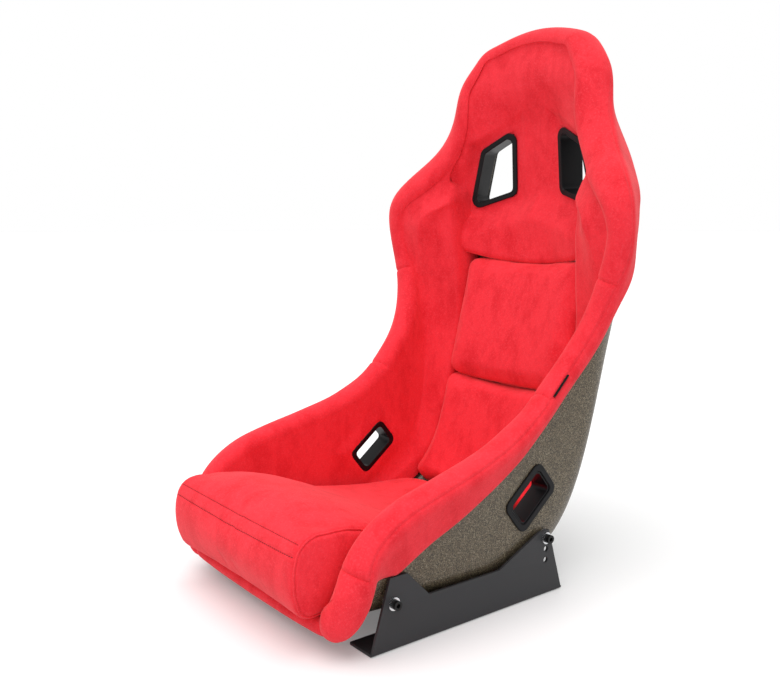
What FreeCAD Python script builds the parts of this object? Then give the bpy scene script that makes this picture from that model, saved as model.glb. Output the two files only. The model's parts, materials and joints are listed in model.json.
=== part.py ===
"""A fixed-back racing seat on steel side brackets, written as a parametric FreeCAD document.

Frame: +Z up, the sitter faces -Y, +X is the sitter's left. The origin is on the floor plane, midway between
the two brackets. Everything is in millimetres.

A fibreglass shell carries glued foam pads, a foam roll round its whole rim, three loose cushions held by
hook-and-loop strips, and plastic bezels round four harness openings. Four threaded bosses in the shell take
the bolts from two L-shaped brackets.
"""
import FreeCAD, Part
import math
import os

import Sketcher
from FreeCAD import Placement, Rotation, Vector

doc = FreeCAD.newDocument("RacingSeat")

# ---------------------------------------------------------------------------------------------------------
# Driving dimensions: every cell holds a plain number and has an alias
# ---------------------------------------------------------------------------------------------------------
DRIVING = [
    ("shell_wall", 4.0), ("bond_gap", 1.5), ("roll_gap", 4.0),
    ("strip_thick", 1.4), ("strip_gap", 0.2), ("seat_gap", 0.1),
    # padding
    ("lining_thick", 22.0), ("lining_shoulder_extra", 26.0), ("upper_pad_thick", 24.0),
    ("upper_pad_bulge", 18.0),
    ("cushion_thick", 40.0), ("cushion_low_half", 153.0), ("cushion_high_half", 137.0),
    ("base_half_width", 167.0),
    ("roll_radius", 20.0), ("roll_reach", 18.0), ("roll_inner_leg", 18.0), ("roll_outer_leg", 30.0),
    ("roll_hem", 8.0), ("lip_radius", 11.0), ("lip_reach", 12.0), ("lip_leg", 22.0), ("lip_hem", 6.0),
    # L-shaped side brackets
    ("bracket_half_length", 181.5), ("bracket_top_end", 151.0),
    ("bracket_plate", 4.0), ("bracket_inner_x", 213.0),
    ("bracket_height", 100.0), ("bracket_valley", 61.0), ("front_peak", 122.0), ("rear_peak", 131.0),
    ("valley_front", 84.0), ("valley_rear", 48.0), ("flange_width", 48.0), ("bend_radius", 3.0),
    ("half_pitch", 145.0), ("front_hole_z", 64.0), ("rear_hole_z", 88.0), ("rear_hole_step", 17.0),
    ("hole_radius", 4.5), ("slot_half", 8.0), ("slot_radius", 4.5), ("slot_x", 189.0),
    # fasteners
    ("bolt_radius", 4.0), ("bolt_length", 24.0), ("bolt_head_radius", 6.5), ("bolt_head_length", 8.0),
    ("socket_depth", 4.0), ("socket_corner", 3.46), ("washer_radius", 9.0), ("washer_thick", 1.6),
    ("insert_radius", 8.0), ("insert_bore", 4.06), ("insert_length", 20.0), ("insert_flange", 13.0),
    ("insert_flange_thick", 2.2),
    # bezels round the harness openings
    ("bezel_flange", 9.0), ("bezel_thick", 3.0), ("sleeve_wall", 2.0), ("sleeve_fit", 0.6), ("ring_fit", 0.8),
    ("bezel_sink", 2.5), ("pad_clearance", 4.0), ("bezel_chamfer", 0.9),
    ("lap_half_length", 35.0), ("lap_half_height", 19.0), ("lap_corner", 8.0),
    ("lap_y", 117.0), ("lap_z", 154.0),
    ("lap_slope", 39.0), ("lap_stand", 25.0), ("lap_sleeve", 30.0),
    ("shoulder_x", 95.0), ("shoulder_y", 331.0), ("shoulder_z", 648.0), ("shoulder_yaw", 15.7),
    ("shoulder_tilt", 4.4), ("shoulder_sleeve", 38.0), ("shoulder_corner", 10.0), ("shoulder_inner_x", 56.5),
    ("shoulder_inner_top", 708.0), ("shoulder_inner_low", 612.0), ("shoulder_low_x", 135.0),
    ("shoulder_low_z", 590.0), ("shoulder_top_x", 112.0), ("shoulder_top_z", 680.0),
    # loose ends
    ("tag_length", 30.0), ("tag_width", 12.0), ("tag_thick", 1.2), ("tag_lift", 1.5),
]

# The side profile (y, z) of the base cushion, from the nose round over the top and back along the underside
BASE_PROFILE = [
    (-262, 60), (-268, 148), (-228, 173), (-150, 168), (-40, 120), (60, 97), (184, 84),
    (184, 70), (140, 52), (60, 41), (-40, 44.5), (-130, 48.5), (-190, 51), (-226, 58),
]

# The shell's inner face at stations from the front lip (00) to the top of the head (16). Each row is the
# spine point (y, z) on the centre plane, the corner (x, y, z) where floor or back would meet the wing, the
# rim point (x, y, z), and how far the corner's rounding reaches along both legs.
STATIONS = [
    (-224, 40, 196, -220, 42, 210, -206, 84, 28),
    (-190, 46, 198, -188, 47, 213, -184, 136, 34),
    (-130, 44, 200, -130, 44, 216, -128, 176, 38),
    (-40, 40, 203, -42, 40, 215, -38, 202, 42),
    (60, 36, 204, 52, 38, 207, 58, 230, 46),
    (150, 36, 206, 135, 45, 203, 130, 268, 60),
    (222, 50, 202, 193, 68, 206, 176, 312, 75),
    (264, 95, 199, 232, 115, 214, 212, 356, 85),
    (287, 170, 197, 260, 190, 226, 236, 402, 90),
    (310, 275, 196, 285, 295, 240, 248, 455, 90),
    (340, 400, 200, 314, 420, 256, 250, 510, 85),
    (372, 545, 208, 341, 545, 263, 246, 566, 80),
    (379, 630, 188, 354, 620, 246, 256, 612, 70),
    (376, 690, 160, 357, 680, 193, 296, 672, 60),
    (369, 750, 132, 354, 740, 160, 316, 735, 50),
    (360, 812, 112, 350, 800, 145, 328, 792, 40),
    (354, 860, 78, 349, 850, 104, 342, 838, 30),
]
COLUMNS = ("spine_y", "spine_z", "corner_x", "corner_y", "corner_z", "rim_x", "rim_y", "rim_z", "rounding")
LAST = len(STATIONS) - 1

sheet = doc.addObject("Spreadsheet::Sheet", "Dimensions")
for row, (alias, number) in enumerate(DRIVING, start=1):
    sheet.set(f"A{row}", alias)
    sheet.set(f"B{row}", str(number))
    sheet.setAlias(f"B{row}", alias)
for row, corner in enumerate(BASE_PROFILE):
    for letter, axis, number in zip("NO", ("depth", "height"), corner):
        sheet.set(f"{letter}{row + 1}", str(number))
        sheet.setAlias(f"{letter}{row + 1}", f"base_{axis}_{row:02d}")
for row, numbers in enumerate(STATIONS):
    for column, (name, number) in enumerate(zip(COLUMNS, numbers)):
        cell = f"{chr(ord('D') + column)}{row + 1}"
        sheet.set(cell, str(number))
        sheet.setAlias(cell, f"{name}_{row:02d}")
doc.recompute()


def dim(alias):
    """A driving dimension as a float."""
    return float(sheet.get(alias))


# ---------------------------------------------------------------------------------------------------------
# The shell's inner face as a smooth function of u (along the seat) and t (across it, -1 rim to 1 rim)
# ---------------------------------------------------------------------------------------------------------
FLAT_END = 0.45     # |t| where the flat floor or back ends and the corner's rounding starts
CORNER_END = 0.75   # |t| where the rounding ends and the straight wing starts
STEP = 0.01         # for finite differences


def natural_spline(values):
    """The natural cubic spline through values at 0, 1, 2 ... as a function."""
    n = len(values) - 1
    second = [0.0] * (n + 1)
    ratio = [0.0] * (n + 1)
    rest = [0.0] * (n + 1)
    for i in range(1, n):
        load = 3 * (values[i + 1] - 2 * values[i] + values[i - 1])
        pivot = 4 - ratio[i - 1]
        ratio[i] = 1 / pivot
        rest[i] = (load - rest[i - 1]) / pivot
    for i in range(n - 1, 0, -1):
        second[i] = rest[i] - ratio[i] * second[i + 1]

    def at(u):
        i = min(int(max(u, 0)), n - 1)
        k = u - i
        slope = values[i + 1] - values[i] - (second[i + 1] + 2 * second[i]) / 3
        return values[i] + k * (slope + k * (second[i] + k * (second[i + 1] - second[i]) / 3))

    return at


station = {name: natural_spline([dim(f"{name}_{i:02d}") for i in range(LAST + 1)]) for name in COLUMNS}


def lerp(a, b, k):
    return a + (b - a) * k


def bezier(a, b, c, k):
    return a * (1 - k) ** 2 + b * (2 * k * (1 - k)) + c * k ** 2


def smooth(k):
    """0 below 0, 1 above 1, and an S curve between."""
    k = min(max(k, 0.0), 1.0)
    return k * k * (3 - 2 * k)


def unit(v):
    return Vector(v).normalize()


def shell_point(u, t):
    side = -1 if t < 0 else 1
    t = abs(t)
    spine = Vector(0, station["spine_y"](u), station["spine_z"](u))
    corner = Vector(station["corner_x"](u), station["corner_y"](u), station["corner_z"](u))
    rim = Vector(station["rim_x"](u), station["rim_y"](u), station["rim_z"](u))
    reach = min(station["rounding"](u), 0.9 * (rim - corner).Length)
    level = spine + Vector((corner.x - reach) / 2, 0, 0)
    start = corner - unit(corner - level) * reach
    end = corner + unit(rim - corner) * reach
    if t < FLAT_END:
        p = bezier(spine, level, start, t / FLAT_END)
    elif t < CORNER_END:
        p = bezier(start, corner, end, (t - FLAT_END) / (CORNER_END - FLAT_END))
    else:
        p = lerp(end, rim, (t - CORNER_END) / (1 - CORNER_END))
    return Vector(side * p.x, p.y, p.z)


def shell_normal(u, t):
    """The unit normal that points out of the seat, away from the sitter."""
    u = min(max(u, STEP), LAST - STEP)
    t = min(max(t, STEP - 1), 1 - STEP)
    along = shell_point(u + STEP, t) - shell_point(u - STEP, t)
    across = shell_point(u, t + STEP) - shell_point(u, t - STEP)
    return unit(across.cross(along)).negative()


def above_shell(u, t, height):
    """A point that stands height off the shell's inner face, on the sitter's side."""
    return shell_point(u, t) - shell_normal(u, t) * height


def t_at_x(u, x):
    """The t in 0..1 where the section at u reaches the half width x."""
    low, high = 0.0, CORNER_END
    for _ in range(30):
        middle = (low + high) / 2
        if shell_point(u, middle).x < x:
            low = middle
        else:
            high = middle
    return low


def rim_tangent(u):
    return unit(shell_point(min(u + STEP, LAST), 1) - shell_point(max(u - STEP, 0), 1))


def t_below_rim(u, distance):
    """The t in 0..1 that lies distance short of the rim, measured square to the rim."""
    rim = shell_point(u, 1)
    tangent = rim_tangent(u)
    low, high = 0.3, 1.0
    for _ in range(30):
        middle = (low + high) / 2
        if (shell_point(u, middle) - rim).cross(tangent).Length > distance:
            low = middle
        else:
            high = middle
    return low


# ---------------------------------------------------------------------------------------------------------
# Solids from grids of points
# ---------------------------------------------------------------------------------------------------------
def spread(low, high, count):
    return [lerp(low, high, i / (count - 1)) for i in range(count)]


def through_points(rows):
    surface = Part.BSplineSurface()
    surface.interpolate(rows)
    return surface


def near_points(rows):
    """Smoother than through_points, and within a fraction of a millimetre on a broad surface."""
    surface = Part.BSplineSurface()
    surface.approximate(Points=rows, DegMin=3, DegMax=5, Continuity=2, Tolerance=0.2)
    return surface


def sheet_solid(rows_a, rows_b, fit):
    """The solid between two grids of the same size: two smooth faces made by fit, and four ruled sides."""
    a = fit(rows_a)
    b = fit(rows_b)
    faces = [a.toShape(), b.toShape()]
    for u_side in (True, False):
        for first in (True, False):
            edges = []
            for surface in (a, b):
                low_u, high_u, low_v, high_v = surface.bounds()
                if u_side:
                    curve = surface.uIso(low_u if first else high_u)
                else:
                    curve = surface.vIso(low_v if first else high_v)
                edges.append(curve.toShape())
            faces.append(Part.makeRuledSurface(edges[0], edges[1]))
    shell = Part.Shell(sewn_faces(faces))
    solid = Part.Solid(shell)
    if solid.Volume < 0:
        solid.reverse()
    return solid


def sewn_faces(faces):
    compound = Part.Compound(faces)
    compound.sewShape()
    return compound.Faces


# ---------------------------------------------------------------------------------------------------------
# Document helpers
# ---------------------------------------------------------------------------------------------------------
SUBPARTS = []


def named(obj, label):
    """Gives a finished object the label that names its file."""
    obj.Label = label
    SUBPARTS.append(obj)
    return obj


def feature(label, shape):
    obj = doc.addObject("Part::Feature", label)
    obj.Shape = shape
    obj.Placement = Placement()
    return obj


def cut(name, base, tools):
    """base minus the tools, as a Part::Cut."""
    tool = tools[0]
    if len(tools) > 1:
        tool = doc.addObject("Part::MultiFuse", name + "_tools")
        tool.Shapes = tools
    obj = doc.addObject("Part::Cut", name)
    obj.Base = base
    obj.Tool = tool
    return obj


def mirror_of(source, label):
    obj = doc.addObject("Part::Mirroring", label)
    obj.Source = source
    obj.Normal = Vector(1, 0, 0)
    obj.Base = Vector(0, 0, 0)
    return named(obj, label)


def number(terms):
    """The value of a sum of driving dimensions, given as {alias: factor}."""
    return sum(factor * dim(alias) for alias, factor in terms.items())


def formula(terms):
    return " + ".join(f"{factor} * Dimensions.{alias}" for alias, factor in terms.items())


def origin_plane(body, role):
    return next(f for f in body.Origin.OriginFeatures if f.Role == role)


def new_sketch(body, name, role, offset=None):
    """An empty sketch on one of the body's origin planes, moved along its normal by the terms in offset."""
    sketch = body.newObject("Sketcher::SketchObject", name)
    sketch.AttachmentSupport = [(origin_plane(body, role), "")]
    sketch.MapMode = "FlatFace"
    if offset:
        sketch.AttachmentOffset = Placement(Vector(0, 0, number(offset)), Rotation())
        sketch.setExpression("AttachmentOffset.Base.z", formula(offset))
    return sketch


def bind(sketch, kind, geometry, terms):
    """Adds one constraint whose value follows the driving dimensions."""
    value = number(terms)
    index = sketch.addConstraint(Sketcher.Constraint(kind, *geometry, value))
    sketch.setExpression(f"Constraints[{index}]", formula(terms))


def pin_point(sketch, index, end, x_terms, y_terms):
    """Fixes one point of a sketch by its distances from the origin."""
    bind(sketch, "DistanceX", (-1, 1, index, end), x_terms)
    bind(sketch, "DistanceY", (-1, 1, index, end), y_terms)


def polygon(sketch, corners):
    """A closed polygon. Each corner is ({alias: factor}, {alias: factor})."""
    points = [Vector(number(x), number(y), 0) for x, y in corners]
    count = len(points)
    for i in range(count):
        sketch.addGeometry(Part.LineSegment(points[i], points[(i + 1) % count]), False)
    for i in range(count):
        sketch.addConstraint(Sketcher.Constraint("Coincident", i, 2, (i + 1) % count, 1))
    for i, (x, y) in enumerate(corners):
        pin_point(sketch, i, 1, x, y)


def circle(sketch, x_terms, y_terms, radius_terms):
    centre = Vector(number(x_terms), number(y_terms), 0)
    index = sketch.addGeometry(Part.Circle(centre, Vector(0, 0, 1), number(radius_terms)), False)
    pin_point(sketch, index, 3, x_terms, y_terms)
    bind(sketch, "Radius", (index,), radius_terms)


def pad(body, name, sketch, length, reverse=False):
    obj = body.newObject("PartDesign::Pad", name)
    obj.Profile = sketch
    obj.Length = number(length)
    obj.setExpression("Length", formula(length))
    obj.Reversed = reverse
    return obj


def pocket(body, name, sketch):
    """A pocket through everything, on both sides of its sketch."""
    before = body.Tip
    doc.recompute()
    volume = before.Shape.Volume
    obj = body.newObject("PartDesign::Pocket", name)
    obj.Profile = sketch
    obj.Type = "ThroughAll"
    obj.Midplane = True
    doc.recompute()
    if obj.Shape.Volume > volume - 1:
        raise RuntimeError(f"{name} cuts nothing")
    return obj


def fillet(body, name, edges, radius):
    """Rounds the edges of the body's tip that the test picks."""
    doc.recompute()
    base = body.Tip
    picked = [f"Edge{i}" for i, edge in enumerate(base.Shape.Edges, start=1) if edges(edge)]
    obj = body.newObject("PartDesign::Fillet", name)
    obj.Base = (base, picked)
    obj.Radius = number(radius)
    obj.setExpression("Radius", formula(radius))
    return obj


# ---------------------------------------------------------------------------------------------------------
# The shell and what is cut through it
# ---------------------------------------------------------------------------------------------------------
ACROSS = spread(-1, 1, 21)
ALONG = spread(0, LAST, 33)


def shell_sheet(label, inner_gap, outer_gap):
    """The shell's wall, with both faces moved outward from the wall by the gaps."""
    wall = dim("shell_wall") + outer_gap
    inner = [[above_shell(u, t, inner_gap) for t in ACROSS] for u in ALONG]
    outer = [[above_shell(u, t, -wall) for t in ACROSS] for u in ALONG]
    return feature(label, sheet_solid(inner, outer, near_points))


def frame_at(origin, x_axis, z_axis):
    """A placement with its own X and Z axes, Z first."""
    return Placement(origin, Rotation(x_axis, z_axis.cross(x_axis), z_axis, "ZXY"))


def grown(corners, grow):
    """The same corners with every side moved outward by the terms in grow, mitred."""
    points = [Vector(number(x), number(y), 0) for x, y in corners]
    count = len(points)
    moved = []
    for i, (x, y) in enumerate(corners):
        before = unit(points[i] - points[i - 1])
        after = unit(points[(i + 1) % count] - points[i])
        outward_before = Vector(before.y, -before.x, 0)
        outward_after = Vector(after.y, -after.x, 0)
        mitre = (outward_before + outward_after) / (1 + outward_before.dot(outward_after))
        new_x = dict(x)
        new_y = dict(y)
        for alias, factor in grow.items():
            new_x[alias] = new_x.get(alias, 0) + factor * mitre.x
            new_y[alias] = new_y.get(alias, 0) + factor * mitre.y
        moved.append((new_x, new_y))
    return moved


def upright(edge):
    """True for an edge that runs along the body's own Z."""
    first, last = edge.Vertexes[0].Point, edge.Vertexes[-1].Point
    return abs(first.x - last.x) < 0.01 and abs(first.y - last.y) < 0.01


def upright_of(length):
    """Picks the upright edges of one length."""
    return lambda edge: upright(edge) and abs(edge.Length - length) < 0.01


def prism(name, corners, start, length, corner_radius, placement):
    """A straight prism with rounded corners: start and length are terms along the placement's Z."""
    body = doc.addObject("PartDesign::Body", name)
    sketch = new_sketch(body, name + "_outline", "XY_Plane", start)
    polygon(sketch, corners)
    pad(body, name + "_pad", sketch, length)
    fillet(body, name + "_corners", upright, corner_radius)
    body.Placement = placement
    return body


LAP_CORNERS = [
    ({"lap_half_length": -1}, {"lap_half_height": -1}), ({"lap_half_length": 1}, {"lap_half_height": -1}),
    ({"lap_half_length": 1}, {"lap_half_height": 1}), ({"lap_half_length": -1}, {"lap_half_height": 1}),
]


def shoulder_corner(z_alias, x_alias):
    """One corner of the shoulder opening, in a frame whose X points up and whose Y points outboard."""
    return {z_alias: 1, "shoulder_z": -1}, {x_alias: 1, "shoulder_x": -1}


SHOULDER_CORNERS = [
    shoulder_corner("shoulder_inner_low", "shoulder_inner_x"),
    shoulder_corner("shoulder_inner_top", "shoulder_inner_x"),
    shoulder_corner("shoulder_top_z", "shoulder_top_x"),
    shoulder_corner("shoulder_low_z", "shoulder_low_x"),
]


def nearest_on_shell(target):
    """The (u, t) of the shell's inner face that lies nearest to a point on the +X side."""
    u, t, reach_u, reach_t = LAST / 2, 0.5, LAST / 2, 0.5
    for _ in range(24):
        tries = [(u + i * reach_u / 2, t + j * reach_t / 2) for i in range(-2, 3) for j in range(-2, 3)]
        tries = [(min(max(a, 0), LAST), min(max(b, 0), 1)) for a, b in tries]
        u, t = min(tries, key=lambda ut: (shell_point(*ut) - target).Length)
        reach_u, reach_t = reach_u * 0.7, reach_t * 0.7
    return u, t


def pierce(origin, axis):
    """The (u, t) where a line through origin along axis meets the shell's inner face."""
    distance = 0.0
    for _ in range(12):
        u, t = nearest_on_shell(origin + axis * distance)
        distance = (shell_point(u, t) - origin).dot(axis)
    return u, t


def lap_frames():
    """The frames of the inner and the outer lap bezel, on the sitter's left."""
    on_wing = nearest_on_shell(Vector(dim("base_half_width") + 40, dim("lap_y"), dim("lap_z")))
    out = shell_normal(*on_wing)
    slope = math.radians(dim("lap_slope"))
    rising = Vector(0, math.cos(slope), math.sin(slope))
    rising = unit(rising - out * rising.dot(out))
    face = shell_point(*on_wing)
    front = frame_at(face - out * dim("lap_stand"), rising, out)
    return front, frame_at(face + out * dim("shell_wall"), rising, out)


def shoulder_frames():
    """The frames of the front and the rear shoulder bezel, on the sitter's left."""
    yaw = math.tan(math.radians(dim("shoulder_yaw")))
    tilt = math.tan(math.radians(dim("shoulder_tilt")))
    back = unit(Vector(yaw, 1, tilt))
    front = Vector(dim("shoulder_x"), dim("shoulder_y"), dim("shoulder_z"))
    on_back = pierce(front, back)
    out = shell_normal(*on_back)
    up = Vector(0, 0, 1)
    first = frame_at(front, unit(up - back * up.dot(back)), back)
    last = frame_at(shell_point(*on_back) + out * dim("shell_wall"), unit(up - out * up.dot(out)), out)
    return first, last


class Opening:
    """One harness opening: its corners, its corner radius and the frames of its two bezels."""

    def __init__(self, name, corners, corner, sleeve, frames):
        self.name = name
        self.corners = corners
        self.corner = corner
        self.sleeve = sleeve
        self.front_frame, self.rear_frame = frames

    def cutter(self, use, clearance):
        """A prism that clears the sleeve by the terms in clearance, for the left and the right side."""
        corners = grown(self.corners, {"sleeve_wall": 1, **clearance})
        left = prism(f"{self.name}_{use}", corners, {self.sleeve: -1}, {self.sleeve: 3}, {self.corner: 1},
                     self.front_frame)
        right = doc.addObject("Part::Mirroring", f"{self.name}_{use}_right")
        right.Source = left
        right.Normal = Vector(1, 0, 0)
        return [left, right]

    def front_bezel(self):
        """A flange that lies on the padding with a sleeve that reaches back through the shell."""
        body = doc.addObject("PartDesign::Body", f"left_{self.name}_bezel_front")
        flange = new_sketch(body, f"{self.name}_flange", "XY_Plane", {"bezel_thick": -1})
        polygon(flange, grown(self.corners, {"bezel_flange": 1}))
        pad(body, f"{self.name}_flange_pad", flange, {"bezel_thick": 1})
        sleeve = new_sketch(body, f"{self.name}_sleeve", "XY_Plane")
        polygon(sleeve, grown(self.corners, {"sleeve_wall": 1}))
        pad(body, f"{self.name}_sleeve_pad", sleeve, {self.sleeve: 1})
        self.hollow(body, self.corners, {self.corner: 1, "sleeve_wall": -0.5})
        fillet(body, f"{self.name}_sleeve_corners", upright_of(dim(self.sleeve)), {self.corner: 1})
        fillet(body, f"{self.name}_flange_corners", upright_of(dim("bezel_thick")),
               {self.corner: 1, "bezel_flange": 0.6})
        self.soften(body, -dim("bezel_thick"))
        body.Placement = self.front_frame
        return body

    def rear_bezel(self, envelope):
        """A ring that lies on the shell's outer face and follows its curve."""
        body = doc.addObject("PartDesign::Body", f"{self.name}_ring")
        fit = {"sleeve_wall": 1, "ring_fit": 1}
        ring = new_sketch(body, f"{self.name}_ring_outline", "XY_Plane", {"bezel_sink": -1})
        polygon(ring, grown(self.corners, {**fit, "bezel_flange": 1}))
        pad(body, f"{self.name}_ring_pad", ring, {"bezel_sink": 1, "bezel_thick": 1})
        fillet(body, f"{self.name}_ring_corners", upright, {self.corner: 1, "bezel_flange": 0.6})
        self.hollow(body, grown(self.corners, fit), {self.corner: 1})
        self.soften(body, dim("bezel_thick"))
        body.Placement = self.rear_frame
        return cut(f"left_{self.name}_bezel_rear", body, [envelope])

    def hollow(self, body, corners, radius):
        """Cuts the opening through a bezel and rounds the opening's corners."""
        doc.recompute()
        before = {round(v.X, 2) for v in body.Tip.Shape.Vertexes}
        sketch = new_sketch(body, body.Name + "_opening", "XY_Plane")
        polygon(sketch, corners)
        pocket(body, body.Name + "_pocket", sketch)
        fillet(body, body.Name + "_opening_corners",
               lambda edge: upright(edge) and round(edge.Vertexes[0].X, 2) not in before, radius)

    def soften(self, body, height):
        """Chamfers the rim edges of the flange's visible face."""
        doc.recompute()
        base = body.Tip
        picked = [f"Edge{i}" for i, edge in enumerate(base.Shape.Edges, start=1)
                  if all(abs(v.Z - height) < 0.01 for v in edge.Vertexes)]
        obj = body.newObject("PartDesign::Chamfer", body.Name + "_soft_edges")
        obj.Base = (base, picked)
        obj.Size = dim("bezel_chamfer")
        obj.setExpression("Size", formula({"bezel_chamfer": 1}))


LAP = Opening("lap", LAP_CORNERS, "lap_corner", "lap_sleeve", lap_frames())
SHOULDER = Opening("shoulder", SHOULDER_CORNERS, "shoulder_corner", "shoulder_sleeve", shoulder_frames())

# ---------------------------------------------------------------------------------------------------------
# Fasteners, all on axes along X
# ---------------------------------------------------------------------------------------------------------
BOLT_HEIGHTS = (("front", "front_hole_z"), ("rear", "rear_hole_z"))
BOLT_PLACES = [(side, y, z) for side in (1, -1) for y, z in BOLT_HEIGHTS]


def x_cylinder(name, side, place, start, radius, length):
    """A cylinder that runs from start away from the centre plane, on one side, at a bolt's place."""
    obj = doc.addObject("Part::Cylinder", name)
    obj.setExpression("Radius", formula(radius))
    obj.setExpression("Height", formula(length))
    put_on_axis(obj, side, place, start)
    return obj


def put_on_axis(obj, side, place, start):
    y_factor = -1 if place[0] == "front" else 1
    obj.Placement = Placement(Vector(), Rotation(Vector(0, 1, 0), 90 * side))
    obj.setExpression("Placement.Base.x", formula({alias: side * factor for alias, factor in start.items()}))
    obj.setExpression("Placement.Base.y", formula({"half_pitch": y_factor}))
    obj.setExpression("Placement.Base.z", formula({place[1]: 1}))


def bolt(i, side, place):
    under_head = {"bracket_inner_x": 1, "bracket_plate": 1, "washer_thick": 1, "seat_gap": 2}
    head = x_cylinder(f"bolt_head_{i}", side, place, under_head, {"bolt_head_radius": 1},
                      {"bolt_head_length": 1})
    shank_start = {**under_head, "bolt_length": -1}
    shank = x_cylinder(f"bolt_shank_{i}", side, place, shank_start, {"bolt_radius": 1}, {"bolt_length": 1})
    whole = doc.addObject("Part::Fuse", f"bolt_solid_{i}")
    whole.Base = head
    whole.Tool = shank
    socket = doc.addObject("Part::Prism", f"bolt_socket_{i}")
    socket.Polygon = 6
    socket.setExpression("Circumradius", formula({"socket_corner": 1}))
    socket.setExpression("Height", formula({"socket_depth": 2}))
    put_on_axis(socket, side, place, {**under_head, "bolt_head_length": 1, "socket_depth": -1})
    return cut(f"bolt_{i}", whole, [socket])


def washer(i, side, place):
    start = {"bracket_inner_x": 1, "bracket_plate": 1, "seat_gap": 1}
    disc = x_cylinder(f"washer_disc_{i}", side, place, start, {"washer_radius": 1}, {"washer_thick": 1})
    bore = x_cylinder(f"washer_bore_{i}", side, place, start, {"hole_radius": 1}, {"washer_thick": 1})
    return cut(f"washer_{i}", disc, [bore])


def insert(i, side, place):
    """A threaded insert: a barrel through the shell's wall and a flange that bears on the bracket."""
    face = {"bracket_inner_x": 1, "seat_gap": -1}
    barrel_start = {**face, "insert_length": -1}
    flange_start = {**face, "insert_flange_thick": -1}
    barrel = x_cylinder(f"barrel_{i}", side, place, barrel_start, {"insert_radius": 1}, {"insert_length": 1})
    flange = x_cylinder(f"flange_{i}", side, place, flange_start, {"insert_flange": 1},
                        {"insert_flange_thick": 1})
    whole = doc.addObject("Part::Fuse", f"insert_solid_{i}")
    whole.Base = barrel
    whole.Tool = flange
    bore = x_cylinder(f"insert_bore_{i}", side, place, barrel_start, {"insert_bore": 1}, {"insert_length": 1})
    return cut(f"insert_{i}", whole, [bore])


def group(label, make):
    """The same fastener at all four places, as one node of separate solids."""
    obj = doc.addObject("Part::Compound", label)
    obj.Links = [make(i, side, (y, z)) for i, (side, y, z) in enumerate(BOLT_PLACES)]
    return named(obj, label)


# ---------------------------------------------------------------------------------------------------------
# Side brackets
# ---------------------------------------------------------------------------------------------------------
def bracket():
    """A folded plate: an upright side with a dipped top edge, and a slotted flange turned in under the seat."""
    body = doc.addObject("PartDesign::Body", "left_side_bracket")
    side = new_sketch(body, "bracket_side", "YZ_Plane", {"bracket_inner_x": 1})
    zero = {"bracket_height": 0}
    polygon(side, [
        ({"bracket_half_length": -1}, zero), ({"bracket_half_length": 1}, zero),
        ({"bracket_top_end": 1}, {"bracket_height": 1}), ({"rear_peak": 1}, {"bracket_height": 1}),
        ({"valley_rear": 1}, {"bracket_valley": 1}), ({"valley_front": -1}, {"bracket_valley": 1}),
        ({"front_peak": -1}, {"bracket_height": 1}), ({"bracket_top_end": -1}, {"bracket_height": 1}),
    ])
    pad(body, "bracket_side_pad", side, {"bracket_plate": 1})
    flange = new_sketch(body, "bracket_flange", "XY_Plane")
    outer = {"bracket_inner_x": 1, "bracket_plate": 1}
    inner = {**outer, "flange_width": -1}
    ends = {"bracket_half_length": 1}, {"bracket_half_length": -1}
    polygon(flange, [(inner, ends[1]), (outer, ends[1]), (outer, ends[0]), (inner, ends[0])])
    pad(body, "bracket_flange_pad", flange, {"bracket_plate": 1})
    holes = new_sketch(body, "bracket_holes", "YZ_Plane", {"bracket_inner_x": 1})
    circle(holes, {"half_pitch": -1}, {"front_hole_z": 1}, {"hole_radius": 1})
    for step in range(3):
        circle(holes, {"half_pitch": 1}, {"rear_hole_z": 1, "rear_hole_step": -step}, {"hole_radius": 1})
    pocket(body, "bracket_holes_cut", holes)
    for name, factor in (("front", -1), ("rear", 1)):
        slot = new_sketch(body, f"bracket_{name}_slot", "XY_Plane")
        slot_outline(slot, {"slot_x": 1}, {"half_pitch": factor})
        pocket(body, f"bracket_{name}_slot_cut", slot)
    corner_x = dim("bracket_inner_x") + dim("bracket_plate")
    fillet(body, "bracket_bend", lambda edge: all(abs(v.X - corner_x) + abs(v.Z) < 0.01 for v in edge.Vertexes),
           {"bend_radius": 1})
    return named(body, "left_side_bracket")


def slot_outline(sketch, x_terms, y_terms):
    """A slot along the sketch's X, made of two lines and two half circles."""
    x, y = number(x_terms), number(y_terms)
    half, radius = dim("slot_half"), dim("slot_radius")
    up = Vector(0, 0, 1)
    right_end = Part.Circle(Vector(x + half, y, 0), up, radius)
    left_end = Part.Circle(Vector(x - half, y, 0), up, radius)
    bottom = Part.LineSegment(Vector(x - half, y - radius, 0), Vector(x + half, y - radius, 0))
    top = Part.LineSegment(Vector(x + half, y + radius, 0), Vector(x - half, y + radius, 0))
    sketch.addGeometry(bottom, False)
    sketch.addGeometry(Part.ArcOfCircle(right_end, -math.pi / 2, math.pi / 2), False)
    sketch.addGeometry(top, False)
    sketch.addGeometry(Part.ArcOfCircle(left_end, math.pi / 2, 3 * math.pi / 2), False)
    start, end = 1, 2
    for i in range(4):
        sketch.addConstraint(Sketcher.Constraint("Tangent", i, end, (i + 1) % 4, start))
    pin_point(sketch, 1, 3, {**x_terms, "slot_half": 1}, y_terms)
    pin_point(sketch, 3, 3, {**x_terms, "slot_half": -1}, y_terms)
    bind(sketch, "Radius", (1,), {"slot_radius": 1})


# ---------------------------------------------------------------------------------------------------------
# Padding glued to the shell
# ---------------------------------------------------------------------------------------------------------
def t_where_x(u, height, x):
    """The t where the surface that stands height off the shell reaches the half width x."""
    low, high = 0.1, CORNER_END
    for _ in range(30):
        middle = (low + high) / 2
        if above_shell(u, middle, height).x < x:
            low = middle
        else:
            high = middle
    return low


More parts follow.
